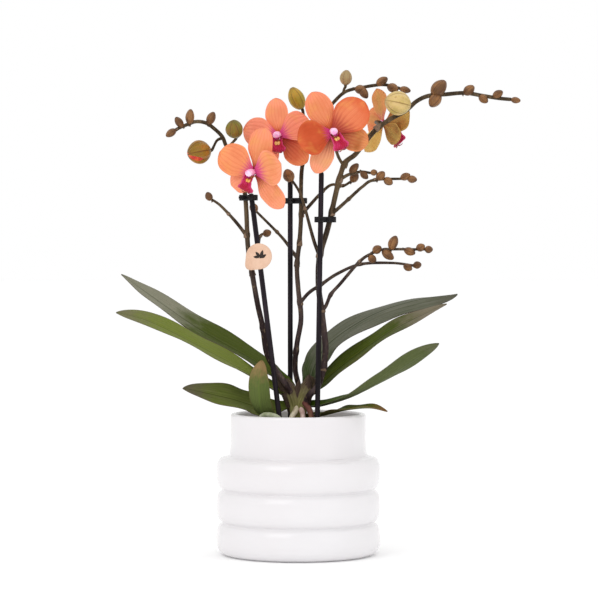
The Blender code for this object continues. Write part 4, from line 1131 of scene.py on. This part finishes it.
def bract(shape, point, along, out, size, finish):
    """A small pointed scale hugging a stem."""
    along = along.normalized()
    out = (out - along * out.dot(along)).normalized()
    side = along.cross(out)
    rows, steps = [], []
    for i in range(11):
        t = i / 10
        wrap = size * 0.62 * (1.0 - t ** 1.8) + 0.05
        row = []
        for j in range(9):
            angle = (j / 4.0 - 1.0) * 1.5 * (1.0 - 0.35 * t)
            ray = out * math.cos(angle) + side * math.sin(angle)
            spot = point + ray * wrap * MM + out * (size * 0.36 * t) * MM
            row.append((spot + along * (size * 1.5 * t - size * 0.35) * MM,
                        ray, 0.16 * MM))
        rows.append(row)
        steps.append(t)
    shape.blade(rows, steps, finish, finish)


def nearest(path, point):
    return min(range(len(path)), key=lambda i: (path[i] - point).length)


# where a spike leaves the crown, and the heights of its bare joints
SPIKE_FOOT = {"spike_left": (-5, -5, 29), "spike_middle": (0.6, 9, 26), "spike_right": (5, -6, 23)}
SPIKE_JOINTS = {"spike_left": (77, 118), "spike_middle": (60, 140), "spike_right": (48, 183)}


def build_spikes(stem, scale, small):
    for name, points in SPIKES.items():
        shape = Shape()
        path = smooth_path(plant_points(SPIKE_FOOT[name], *points), 260)
        along = tangents(path)
        full = SPIKE_RADIUS * SPIKE_GIRTH[name]
        joints = [nearest(path, plant_point(*twig[0])) for twig in TWIGS[name]]
        joints += [min(range(260), key=lambda i: abs(path[i].z - (BARK_TOP + h) * MM))
                   for h in SPIKE_JOINTS[name]]
        joints += [nearest(path, plant_point(*f["stalk"][0])) for f in FLOWERS.values() if f["spike"] == name]

        def radius_at(t):
            spot = path[round(t * 259)]
            knuckle = sum(0.26 * bell(t * 259, joint + 1, 2.2) for joint in joints)
            rounded = 0.5 if t > 0.998 else 1.0
            return full * (1.0 - 0.45 * t) * (1.0 + knuckle + 0.04 * lumps(spot, 7.0, 3)) * rounded * MM
        shape.tube(path, radius_at, 22)
        for number, joint in enumerate(joints):
            way = TWIGS[name][number][2] if number < len(TWIGS[name]) else None
            out = Vector((math.cos(joint), math.sin(joint), 0.1))
            if way:
                out = plant_point(*way) - path[joint]
            bract(shape, path[joint], along[joint], out, full * 1.7, 1)
        for twig in TWIGS[name]:
            line = smooth_path(plant_points(*twig), 90)
            way = tangents(line)
            bends = [nearest(line, plant_point(*p)) for p in twig[2::2]]

            def twig_radius(t, line=line, bends=bends):
                knuckle = sum(0.3 * bell(t * 89, bend, 1.6) for bend in bends)
                uneven = 1.0 + knuckle + 0.05 * lumps(line[round(t * 89)], 5.0, 4)
                return TWIG_RADIUS * (1.0 - 0.35 * t) * uneven * MM
            shape.tube(line, twig_radius, 14)
            for number, bend in enumerate(bends):
                out = Vector((0.2, -0.5, 1.0 if number % 2 else -1.0))
                bract(shape, line[bend], way[bend], out, TWIG_RADIUS * 1.5, 1)
        for foot, tip, radius in SMALL_BUDS[name]:
            bud_body(shape, foot, tip, radius * 1.08, 2, 20, 14)
            lean = (plant_point(*tip) - plant_point(*foot)).normalized()
            side = lean.orthogonal()
            bract(shape, plant_point(*foot) - lean * 1.2 * MM, lean, side, radius * 0.5, 1)
        for foot, tip, _, stalk, owner in LARGE_BUDS.values():
            if owner == name:
                away = (plant_point(*foot) - plant_point(*tip)).normalized()
                end = plant_point(*foot) - away * 0.4 * MM
                line = smooth_path(plant_points(*stalk) + [end + away * 2.0 * MM, end], 30)
                shape.tube(line, lambda t: PEDICEL_RADIUS * (1.15 - 0.3 * math.sin(math.pi * t)) * MM, 12)
        for flower in FLOWERS.values():
            if flower["spike"] == name:
                back = flower_point(flower, 0.0, 0.0, -COLUMN_RADIUS)
                behind = flower_point(flower, 0.0, 0.0, -8.0)
                line = smooth_path(plant_points(*flower["stalk"]) + [behind, back], 50)
                shape.tube(line, lambda t: PEDICEL_RADIUS * (1.05 + 0.35 * bell(t, 1.0, 0.3)) * MM, 14)
        shape.piece("stem_" + name, [stem, scale, small], "spike_skin", name)


BUD_LOOKS = {
    "bud_opening": ((0.24, 0.13, 0.012), (0.42, 0.16, 0.015), (0.12, 0.03, 0.008), 0.4),
    "bud_left": ((0.17, 0.16, 0.018), (0.26, 0.12, 0.025), (0.1, 0.04, 0.018), 0.3),
    "bud_middle": ((0.34, 0.25, 0.03), (0.5, 0.28, 0.035), (0.12, 0.07, 0.015), 0.7),
    "bud_top": ((0.36, 0.26, 0.12), (0.5, 0.28, 0.14), (0.16, 0.06, 0.03), 0.3),
    "bud_right": ((0.46, 0.34, 0.09), (0.66, 0.47, 0.2), (0.2, 0.1, 0.025), 0.25),
}


def build_buds():
    slit = Look("opening_petal", 0.45, 0.3)
    fold = slit.noise(260.0, 3.0)
    slit = slit.finish(slit.coat((0.55, 0.03, 0.02), (0.8, 0.13, 0.03), fold, 0.35, 0.65), fold, 0.0003)
    for name, (foot, tip, radius, *_) in LARGE_BUDS.items():
        shape = Shape()
        bud_body(shape, foot, tip, radius, sides=72, rings=44, gape=0.46 if name == "bud_opening" else 0.0)
        if name == "bud_opening":
            bud_body(shape, foot, tip, radius * 0.84, 1, 36, 26)
        shape.piece("closed_" + name, [bud_look(name + "_skin", *BUD_LOOKS[name]), slit], "bud_green", name)


# ---------------------------------------------------------------- flowers

def flower_axes(shape):
    """Right, up and forward directions of a flower."""
    turn = math.radians(shape["turn"])
    lift = math.radians(shape["lift"])
    forward = Vector((math.sin(turn) * math.cos(lift), -math.cos(turn) * math.cos(lift), math.sin(lift)))
    right = Vector((math.cos(turn), math.sin(turn), 0.0))
    right = Matrix.Rotation(math.radians(shape["roll"]), 3, forward) @ right
    return right, forward.cross(right).normalized(), forward


def flower_point(shape, x, y, z):
    right, up, forward = flower_axes(shape)
    return plant_point(*shape["centre"]) + (right * x + up * y + forward * z) * MM


SALMON = (0.88, 0.27, 0.125)
PEACH = (0.86, 0.325, 0.14)
PINK = (0.88, 0.27, 0.175)
ROSE = (0.97, 0.315, 0.2)
GOLD = (0.84, 0.4, 0.09)
DEEP = (0.58, 0.088, 0.026)
KHAKI = (0.56, 0.37, 0.095)
MAGENTA = (0.62, 0.03, 0.26)
DARK_RED = (0.34, 0.03, 0.03)

# main colour, base flush, how far the flush reaches, edge
PETAL_LOOKS = {
    "flower_left_dorsal_sepal": (PEACH, DARK_RED, 0.14, PINK),
    "flower_left_sepal_left": (blended(PEACH, ROSE, 0.6), MAGENTA, 0.5, ROSE),
    "flower_left_sepal_right": (blended(PEACH, ROSE, 0.3), DARK_RED, 0.3, ROSE),
    "flower_left_petal_left": (SALMON, MAGENTA, 0.22, PEACH),
    "flower_left_petal_right": (PEACH, MAGENTA, 0.32, ROSE),
    "flower_middle_dorsal_sepal": (blended(PEACH, ROSE, 0.3), DEEP, 0.16, ROSE),
    "flower_middle_sepal_left": (ROSE, MAGENTA, 0.3, ROSE),
    "flower_middle_sepal_right": (blended(DEEP, PINK, 0.3), DARK_RED, 0.55, PEACH),
    "flower_middle_petal_left": (ROSE, MAGENTA, 0.2, ROSE),
    "flower_middle_petal_right": (ROSE, MAGENTA, 0.26, ROSE),
    "flower_front_dorsal_sepal": (blended(PEACH, DEEP, 0.25), DEEP, 0.25, PINK),
    "flower_front_sepal_left": (blended(PEACH, (0.85, 0.5, 0.3), 0.4), DARK_RED, 0.5, ROSE),
    "flower_front_sepal_right": (scaled(blended(DEEP, KHAKI, 0.35), 0.66), DARK_RED, 0.6, PEACH),
    "flower_front_petal_left": (blended(DEEP, DARK_RED, 0.1), MAGENTA, 0.12, blended(DEEP, SALMON, 0.2)),
    "flower_front_petal_right": (blended(SALMON, DEEP, 0.15), DARK_RED, 0.42, DEEP),
    "flower_right_dorsal_sepal": (blended(KHAKI, PEACH, 0.5), MAGENTA, 0.3, PEACH),
    "flower_right_sepal_left": (scaled(blended(KHAKI, DEEP, 0.25), 0.5), DARK_RED, 0.3, KHAKI),
    "flower_right_sepal_right": (scaled(KHAKI, 1.32), DARK_RED, 0.2, (0.7, 0.5, 0.2)),
    "flower_right_petal_left": (scaled(blended(KHAKI, DEEP, 0.45), 0.56), DARK_RED, 0.4, KHAKI),
    "flower_right_petal_right": (blended(PEACH, DEEP, 0.3), DARK_RED, 0.4, PEACH),
}


def petal_look(name, main, flush, reach, edge, behind):
    look = Look(name, 0.52, 0.09)
    u, v = look.grain()
    wander = look.noise(1.8, 3.0, (1.0, 1.6, 1.0), "UV")
    blotch = look.noise(2.4, 2.0, (1.2, 1.0, 1.0), "UV", 0.4)
    vein = look.stripes(u, 9.0, look.math("MULTIPLY", wander, 0.7))
    fine = look.stripes(u, 27.0, look.math("MULTIPLY", wander, 1.4))
    mottle = look.noise(95.0, 3.0)
    glitter = look.noise(1500.0, 2.0)
    colour = look.coat(scaled(main, 0.93), blended(main, edge, 0.45), mottle, 0.3, 0.7)
    middle = look.math("ABSOLUTE", look.math("ADD", u, -0.5))
    rim = look.math("MAXIMUM", look.math("MULTIPLY", middle, 2.0), v)
    border = look.math("MULTIPLY_ADD", mottle, 0.12, rim)
    colour = look.coat(colour, scaled(edge, 1.12), border, 0.72, 1.04, 0.75)
    colour = look.coat(colour, blended(main, GOLD, 0.7), blotch, 0.46, 0.68, 0.4)
    colour = look.coat(colour, blended(main, DEEP, 0.45), blotch, 0.48, 0.28, 0.35)
    strength = 0.3 if not behind else 0.2
    colour = look.coat(colour, blended(main, DEEP, 0.6), vein, 0.55, 0.98, strength)
    colour = look.coat(colour, blended(main, DEEP, 0.5), fine, 0.5, 1.0, 0.18)
    colour = look.coat(colour, scaled(main, 1.2), fine, 0.4, 0.0, 0.12)
    ragged = look.math("MULTIPLY_ADD", vein, -0.1, look.math("MULTIPLY_ADD", mottle, -0.12, v))
    share = 0.85 if not behind else 0.35
    colour = look.coat(colour, flush, ragged, reach, reach * 0.1 - 0.1, share)
    if behind:
        colour = look.coat(colour, KHAKI, middle, 0.2, 0.02, 0.4)
    relief = look.math("ADD", look.math("MULTIPLY", vein, -0.7), look.math("MULTIPLY", glitter, 0.35))
    return look.finish(colour, relief, 0.00014)


def petal_outline(t, slim):
    if t < 0.55:
        s = t / 0.55
        return 0.26 + 0.8 * (s * s * (3.0 - 2.0 * s)) ** (0.7 + 0.25 * slim)
    s = (t - 0.55) / 0.45
    return max(1.06 * (1.0 - s ** 2.7) ** 0.52, 0.02)


def petal(name, shape_of, part, number):
    angle, length, half_width, bend, cup = shape_of[part]
    right, up, forward = flower_axes(shape_of)
    heading = math.radians(angle)
    outward = right * math.cos(heading) + up * math.sin(heading)
    sideways = up * math.cos(heading) - right * math.sin(heading)
    slim = 1.0 if "sepal" in part else 0.0
    start = COLUMN_RADIUS - 0.4
    centre = flower_point(shape_of, 0.0, 0.0, 0.0)
    rows, steps = [], []
    count, across = 44, 30
    for i in range(count + 1):
        t = 1.0 - (1.0 - i / count) ** 1.7
        reach = start + (length - start) * t
        half = half_width * petal_outline(t, slim)
        row = []
        for j in range(across + 1):
            v = math.sin(math.pi * 0.5 * (2.0 * j / across - 1.0)) * 0.55 + (2.0 * j / across - 1.0) * 0.45
            swing = math.sin(number * 2.1 + t * 3.0) if v > 0.0 else math.sin(number * 1.3 + 1.0)
            lobe = half * (1.0 + 0.05 * swing)
            rise = FLOWER_LAYERS[part] + bend * length * t * t + cup * half * v * v * t
            ruffle = 0.75 * t * abs(v) ** 3 * math.sin(t * 11.0 + v * 2.2 + number * 1.9)
            rise += ruffle - 0.55 * bell(v, 0.0, 0.09) * (1.0 - t) - 0.5 * slim * abs(v) ** 2 * t
            rise += 0.1 * math.cos(v * 24.0) * (1.0 - 0.6 * t)
            rise += 0.35 * lumps(Vector((v * 8.0, reach, number * 9.0)) * MM, 7.0, number)
            along = outward * (reach - 0.12 * half * v * v * t)
            point = centre + (along + sideways * lobe * v + forward * rise) * MM
            row.append((point, forward, 0.5 * PETAL_THICKNESS * MM * (1.0 - 0.6 * v * v) * (1.1 - 0.4 * t)))
        rows.append(row)
        steps.append(t)
    node = "%s_%s" % (name, part)
    shape = Shape()
    shape.blade(rows, steps)
    looks = [petal_look(node + ("_back" if behind else "_face"), *PETAL_LOOKS[node], behind)
             for behind in (False, True)]
    slot = "petal_khaki" if name == "flower_right" else "petal_orange"
    shape.piece(node.replace("flower", "bloom"), looks, slot, node)


def lip_look():
    look = Look("lip_magenta", 0.42, 0.2)
    u, v = look.grain()
    mottle = look.noise(240.0, 3.0)
    vein = look.stripes(u, 8.0, look.noise(3.0, 2.0, coordinates="UV"))
    colour = look.coat((0.46, 0.008, 0.04), (0.62, 0.022, 0.115), mottle, 0.35, 0.65)
    colour = look.coat(colour, (0.28, 0.005, 0.03), vein, 0.6, 1.0, 0.5)
    middle = look.math("ABSOLUTE", look.math("ADD", u, -0.5))
    colour = look.coat(colour, (0.8, 0.1, 0.28), middle, 0.34, 0.5, 0.7)
    colour = look.coat(colour, (0.85, 0.3, 0.42), v, 0.86, 1.0, 0.55)
    colour = look.coat(colour, (0.82, 0.46, 0.12), v, 0.26, 0.1, 0.85)
    return look.finish(colour, vein, 0.0003)


def callus_look():
    look = Look("callus_yellow", 0.4, 0.35)
    spots = look.cells(900.0)
    colour = look.coat((0.85, 0.42, 0.06), (0.9, 0.6, 0.2), look.noise(300.0, 2.0), 0.35, 0.65)
    return look.finish(look.coat(colour, (0.5, 0.03, 0.04), spots, 0.12, 0.3, 0.0, 0.85), spots, 0.0002)


LIP_WIDTHS = (1.8, 4.6, 6.6, 5.6, 4.8, 6.4, 5.6, 0.7)
LIP_FOLDS = (10, 44, 54, 42, 20, 6, 0, 0)
LIP_SPINE = ((0.0, -2.9, 0.8), (0.0, -4.8, 3.8), (0.0, -6.4, 5.9), (0.0, -8.2, 7.4), (0.0, -10.0, 8.2),
             (0.0, -11.7, 8.0), (0.0, -13.2, 7.0), (0.0, -14.3, 5.6))


LIP_WHISKER = ((0.5, -13.8, 6.2), (1.6, -14.6, 6.2), (3.0, -14.2, 7.2), (2.8, -13.0, 8.4))

# reach of the lips that are longer or shorter than the others, as a share
LIP_REACH = {"flower_right": 1.28, "flower_middle": 0.86}


def eased(values, place):
    place *= len(values) - 1
    index = min(int(place), len(values) - 2)
    share = place - index
    share = share * share * (3.0 - 2.0 * share)
    return values[index] + (values[index + 1] - values[index]) * share


def lip(name, shape_of, looks):
    """Raised side lobes, a waist, an arrow shaped middle lobe with two whiskers, and the yellow callus."""
    right, up, forward = flower_axes(shape_of)
    reach = LIP_REACH.get(name, 1.0)
    at = curve([flower_point(shape_of, x, y * reach, z * reach) for x, y, z in LIP_SPINE])
    rows, steps = [], []
    last_normal = up
    for i in range(45):
        t = i / 44
        point, tangent = at(t)
        normal = right.cross(tangent).normalized()
        if normal.dot(last_normal) < 0.0:
            normal = -normal
        last_normal = normal
        rise = math.radians(eased(LIP_FOLDS, t))
        width = eased(LIP_WIDTHS, t)
        row = []
        for j in range(23):
            v = j / 11.0 - 1.0
            flank = right * v * math.cos(rise) + normal * (math.sqrt(v * v + 0.01) - 0.1) * math.sin(rise)
            curl = normal * 0.5 * abs(v) ** 3 * math.sin(t * 13.0 + v) * MM
            row.append((point + flank * width * MM + curl, normal, 0.3 * MM * (1.0 - 0.5 * abs(v))))
        rows.append(row)
        steps.append(t)
    shape = Shape()
    shape.blade(rows, steps, 0, 0)
    turn = Matrix((right, up, forward)).transposed()
    for way in (-1.0, 1.0):
        lump = flower_point(shape_of, 1.05 * way, -5.5, 6.2)
        shape.ball(lump, (1.25 * MM, 1.6 * MM, 1.3 * MM), finish=1, turn=turn)
        spine = [flower_point(shape_of, x * way, y * reach, z * reach) for x, y, z in LIP_WHISKER]
        whisker = smooth_path(spine, 24)
        shape.tube(whisker, lambda t: 0.42 * (1.0 - 0.6 * t) * MM, 8, 0)
    shape.piece(name.replace("flower", "bloom") + "_lip", looks, "lip_magenta", name + "_lip")


def column_look():
    look = Look("column_pale", 0.35, 0.35, Subsurface_Weight=0.1, Subsurface_Scale=0.001)
    v = look.grain()[1]
    blush = look.noise(260.0, 2.0)
    colour = look.coat((0.7, 0.1, 0.38), (0.93, 0.48, 0.72), v, 0.25, 0.75)
    colour = look.coat(colour, (0.97, 0.8, 0.9), blush, 0.52, 0.7, 0.7)
    return look.finish(colour, blush, 0.0002)


def cap_look():
    look = Look("column_cap", 0.3, 0.35, Subsurface_Weight=0.1, Subsurface_Scale=0.001)
    blush = look.noise(210.0, 3.0)
    colour = look.coat((0.9, 0.36, 0.66), (0.98, 0.68, 0.86), blush, 0.36, 0.6)
    return look.finish(colour, look.noise(900.0, 2.0), 0.00012)


def column(name, shape_of, looks):
    """The waxy column with its cap and the dark hollow under it, a crimson ball painted dark as the hollow's
    shade.
    """
    right, up, forward = flower_axes(shape_of)
    back = -COLUMN_RADIUS - 1.2
    places = ((0.0, 0.0, back), (0.0, 0.2, 0.5), (0.0, 0.9, 5.0), (0.0, 0.4, 8.4), (0.0, -0.2, 9.4))
    spine = [flower_point(shape_of, *place) for place in places]
    path = smooth_path(spine, 34)
    sizes = (0.9, 0.85, 0.95, 1.15, 1.2, 0.55)
    shape = Shape()
    shape.tube(path, lambda t: COLUMN_RADIUS * MM * eased(sizes, t), 28, 0,
               lambda a, t: 1.0 + 0.08 * math.cos(2.0 * a) * t + 0.03 * math.cos(6.0 * a))
    turn = Matrix((right, up, forward)).transposed()
    shape.ball(flower_point(shape_of, 0.0, 0.5, 8.2), (2.75 * MM, 2.5 * MM, 1.8 * MM), finish=2, turn=turn)
    # dark ball under the cap: painted shade filling the hollow, tinted with the column's crimson
    shape.ball(flower_point(shape_of, 0.0, -2.3, 8.0), (1.7 * MM, 0.9 * MM, 1.3 * MM), finish=1, turn=turn)
    shape.piece(name.replace("flower", "bloom") + "_column", looks, "column_pale", name + "_column")


def build_flowers():
    lip_looks = [lip_look(), callus_look()]
    # the hollow's look is painted shade: the column's own crimson darkened as if in shade
    hollow = Look("column_hollow", 0.5, 0.2)
    shade = hollow.noise(700.0, 2.0)
    hollow_shade_colour = hollow.coat((0.2, 0.006, 0.06), (0.42, 0.02, 0.16), shade, 0.3, 0.7)
    hollow = hollow.finish(hollow_shade_colour, shade, 0.0001)
    column_looks = [column_look(), hollow, cap_look()]
    for name, shape_of in FLOWERS.items():
        for number, part in enumerate(FLOWER_LAYERS):
            petal(name, shape_of, part, number + len(name))
        lip(name, shape_of, lip_looks)
        column(name, shape_of, column_looks)


# ---------------------------------------------------------------- tag

def tag_look():
    look = Look("tag_card", 0.75, 0.2)
    fibre = look.noise(800.0, 4.0, (1.0, 1.0, 0.4))
    tone = look.noise(90.0, 3.0)
    colour = look.coat((0.7, 0.45, 0.32), (0.78, 0.53, 0.39), tone, 0.35, 0.65)
    colour = look.coat(colour, (0.55, 0.34, 0.22), fibre, 0.58, 0.75, 0.45)
    return look.finish(colour, fibre, 0.0001)


def ink_look():
    look = Look("tag_print", 0.6, 0.2)
    rub = look.noise(1300.0, 3.0)
    return look.finish(look.coat((0.03, 0.022, 0.018), (0.13, 0.08, 0.055), rub, 0.55, 0.8), rub, 0.00005)


def build_tag():
    """Drop shaped card with a soft edge, a plain leaf sprig printed on it, and its loop round the stake."""
    foot, top = stake_line("stake_left")
    post = point_at_height([foot, top], (BARK_TOP + TAG_HEIGHT) * MM)
    front = post.y - (STAKE_RADIUS + 0.3 + 1.6) * MM
    shape = Shape()

    def edge_point(angle, share, y):
        stretch = 1.0 + 0.34 * bell(angle, math.radians(225.0), 0.42)
        radius = 0.5 * TAG_SIZE * stretch * share * MM
        bow = 0.0006 * (share * math.cos(angle)) ** 2
        return Vector((post.x + radius * math.cos(angle), y + bow, post.z + radius * math.sin(angle)))
    rows = []
    for share, depth in ((0.0, 0.0), (0.35, 0.0), (0.7, 0.0), (0.97, 0.0), (1.0, 0.25), (1.0, 0.75),
                         (0.97, 1.0), (0.7, 1.0), (0.35, 1.0), (0.0, 1.0)):
        y = front - TAG_THICKNESS * depth * MM
        rows.append([edge_point(angle, max(share, 0.002), y) for angle in full_turn(120)])
    shape.sheet(rows, 0, closed=True)
    face = front - (TAG_THICKNESS + 0.06) * MM
    # leaves of the sprig: foot, heading in degrees, length, half width
    sprig = ((0.6, -1.6, 62.0, 6.4, 1.25), (0.9, -0.9, 16.0, 4.8, 1.15), (0.2, -0.6, 112.0, 4.6, 1.1),
             (0.2, -1.0, 158.0, 4.2, 1.0))
    for x, z, heading, length, width in sprig:
        heading = math.radians(heading)
        out = Vector((math.cos(heading), 0.0, math.sin(heading)))
        side = Vector((-out.z, 0.0, out.x))
        rows, steps = [], []
        for i in range(17):
            t = i / 16
            half = width * math.sin(math.pi * min(max(t, 0.02), 0.98)) ** 0.8
            base = Vector((post.x + x * MM, face, post.z + z * MM)) + out * length * t * MM
            base += side * 0.9 * t * t * MM
            bow = 0.0006 * ((base.x - post.x) / (0.5 * TAG_SIZE * MM)) ** 2
            set_in = base + Vector((0.0, bow, 0.0))
            rows.append([(set_in + side * half * v * MM, Vector((0.0, -1.0, 0.0)), 0.05 * MM)
                         for v in (-1.0, -0.5, 0.0, 0.5, 1.0)])
            steps.append(t)
        shape.blade(rows, steps, 1, 1)
    rows = []
    loop_radius = (STAKE_RADIUS + 0.3) * MM
    for level, out in ((-1.0, 0.0), (-1.0, 1.0), (1.0, 1.0), (1.0, 0.0), (-1.0, 0.0)):
        row = []
        for angle in full_turn(48):
            radius = loop_radius + 0.7 * out * MM
            pull = max(-math.sin(angle), 0.0) * 1.5 * MM
            row.append(Vector((post.x + radius * math.cos(angle),
                               post.y + radius * math.sin(angle) - pull, post.z + 2.4 * level * MM)))
        rows.append(row)
    shape.sheet(rows, 0, closed=True)
    shape.piece("plant_label", [tag_look(), ink_look()], "tag_card", "plant_tag")


# ---------------------------------------------------------------- studio

def area_light(name, place, target, size, power):
    light = bpy.data.lights.new(name, "AREA")
    light.shape = "RECTANGLE"
    light.size, light.size_y = size
    light.energy = power
    lamp = bpy.data.objects.new(name, light)
    lamp.location = place
    lamp.rotation_euler = (Vector(target) - Vector(place)).to_track_quat("-Z", "Y").to_euler()
    bpy.context.scene.collection.objects.link(lamp)


def build_studio():
    floor = Shape()
    reach = (0.0, 0.3, 0.8, 2.0, 5.0, 14.0)
    floor.sheet([[Vector((max(r, 0.001) * math.cos(angle), max(r, 0.001) * math.sin(angle), 0.0))
                  for angle in full_turn(96)] for r in reach], closed=True)
    look = Look("studio_floor", 0.9, 0.1, Emission_Color=(1.0, 1.0, 1.0, 1.0), Emission_Strength=0.06)
    tone = look.noise(1.5, 3.0)
    paper = look.finish(look.coat((0.95, 0.95, 0.95), (0.965, 0.965, 0.965), tone, 0.3, 0.7))
    ground = bpy.data.objects.new("studio_floor", floor.mesh("studio_floor", [paper]))
    bpy.context.scene.collection.objects.link(ground)
    world = bpy.data.worlds.new("studio")
    world.use_nodes = True
    back = world.node_tree.nodes["Background"]
    back.inputs["Color"].default_value = (1.0, 1.0, 1.0, 1.0)
    back.inputs["Strength"].default_value = 1.0
    bpy.context.scene.world = world
    area_light("key", (-0.9, -1.5, 1.35), (0.0, 0.0, 0.2), (1.2, 1.2), 6.0)
    area_light("fill", (1.3, -1.2, 0.7), (0.0, 0.0, 0.18), (1.0, 1.4), 1.2)
    area_light("top", (0.1, 0.3, 1.7), (0.0, 0.0, 0.2), (1.2, 1.2), 2.5)
    scene = bpy.context.scene
    scene.view_settings.view_transform = "Standard"
    scene.view_settings.look = "None"
    lens = bpy.data.cameras.new("camera")
    lens.sensor_width = 36.0
    lens.lens = CAMERA_LENS
    lens.clip_end = 60.0
    eye = bpy.data.objects.new("camera", lens)
    eye.location = CAMERA_PLACE
    eye.rotation_euler = (math.radians(90.0 - CAMERA_DIP), 0.0, 0.0)
    scene.collection.objects.link(eye)
    scene.camera = eye


build_studio()
build_pots()
build_bark()
build_roots()
build_crown()
build_stakes()
build_leaves()
build_spikes(stem_look(), bract_look(), small_bud_look())
build_buds()
build_flowers()
build_clips()
build_tag()

bpy.context.view_layer.update()
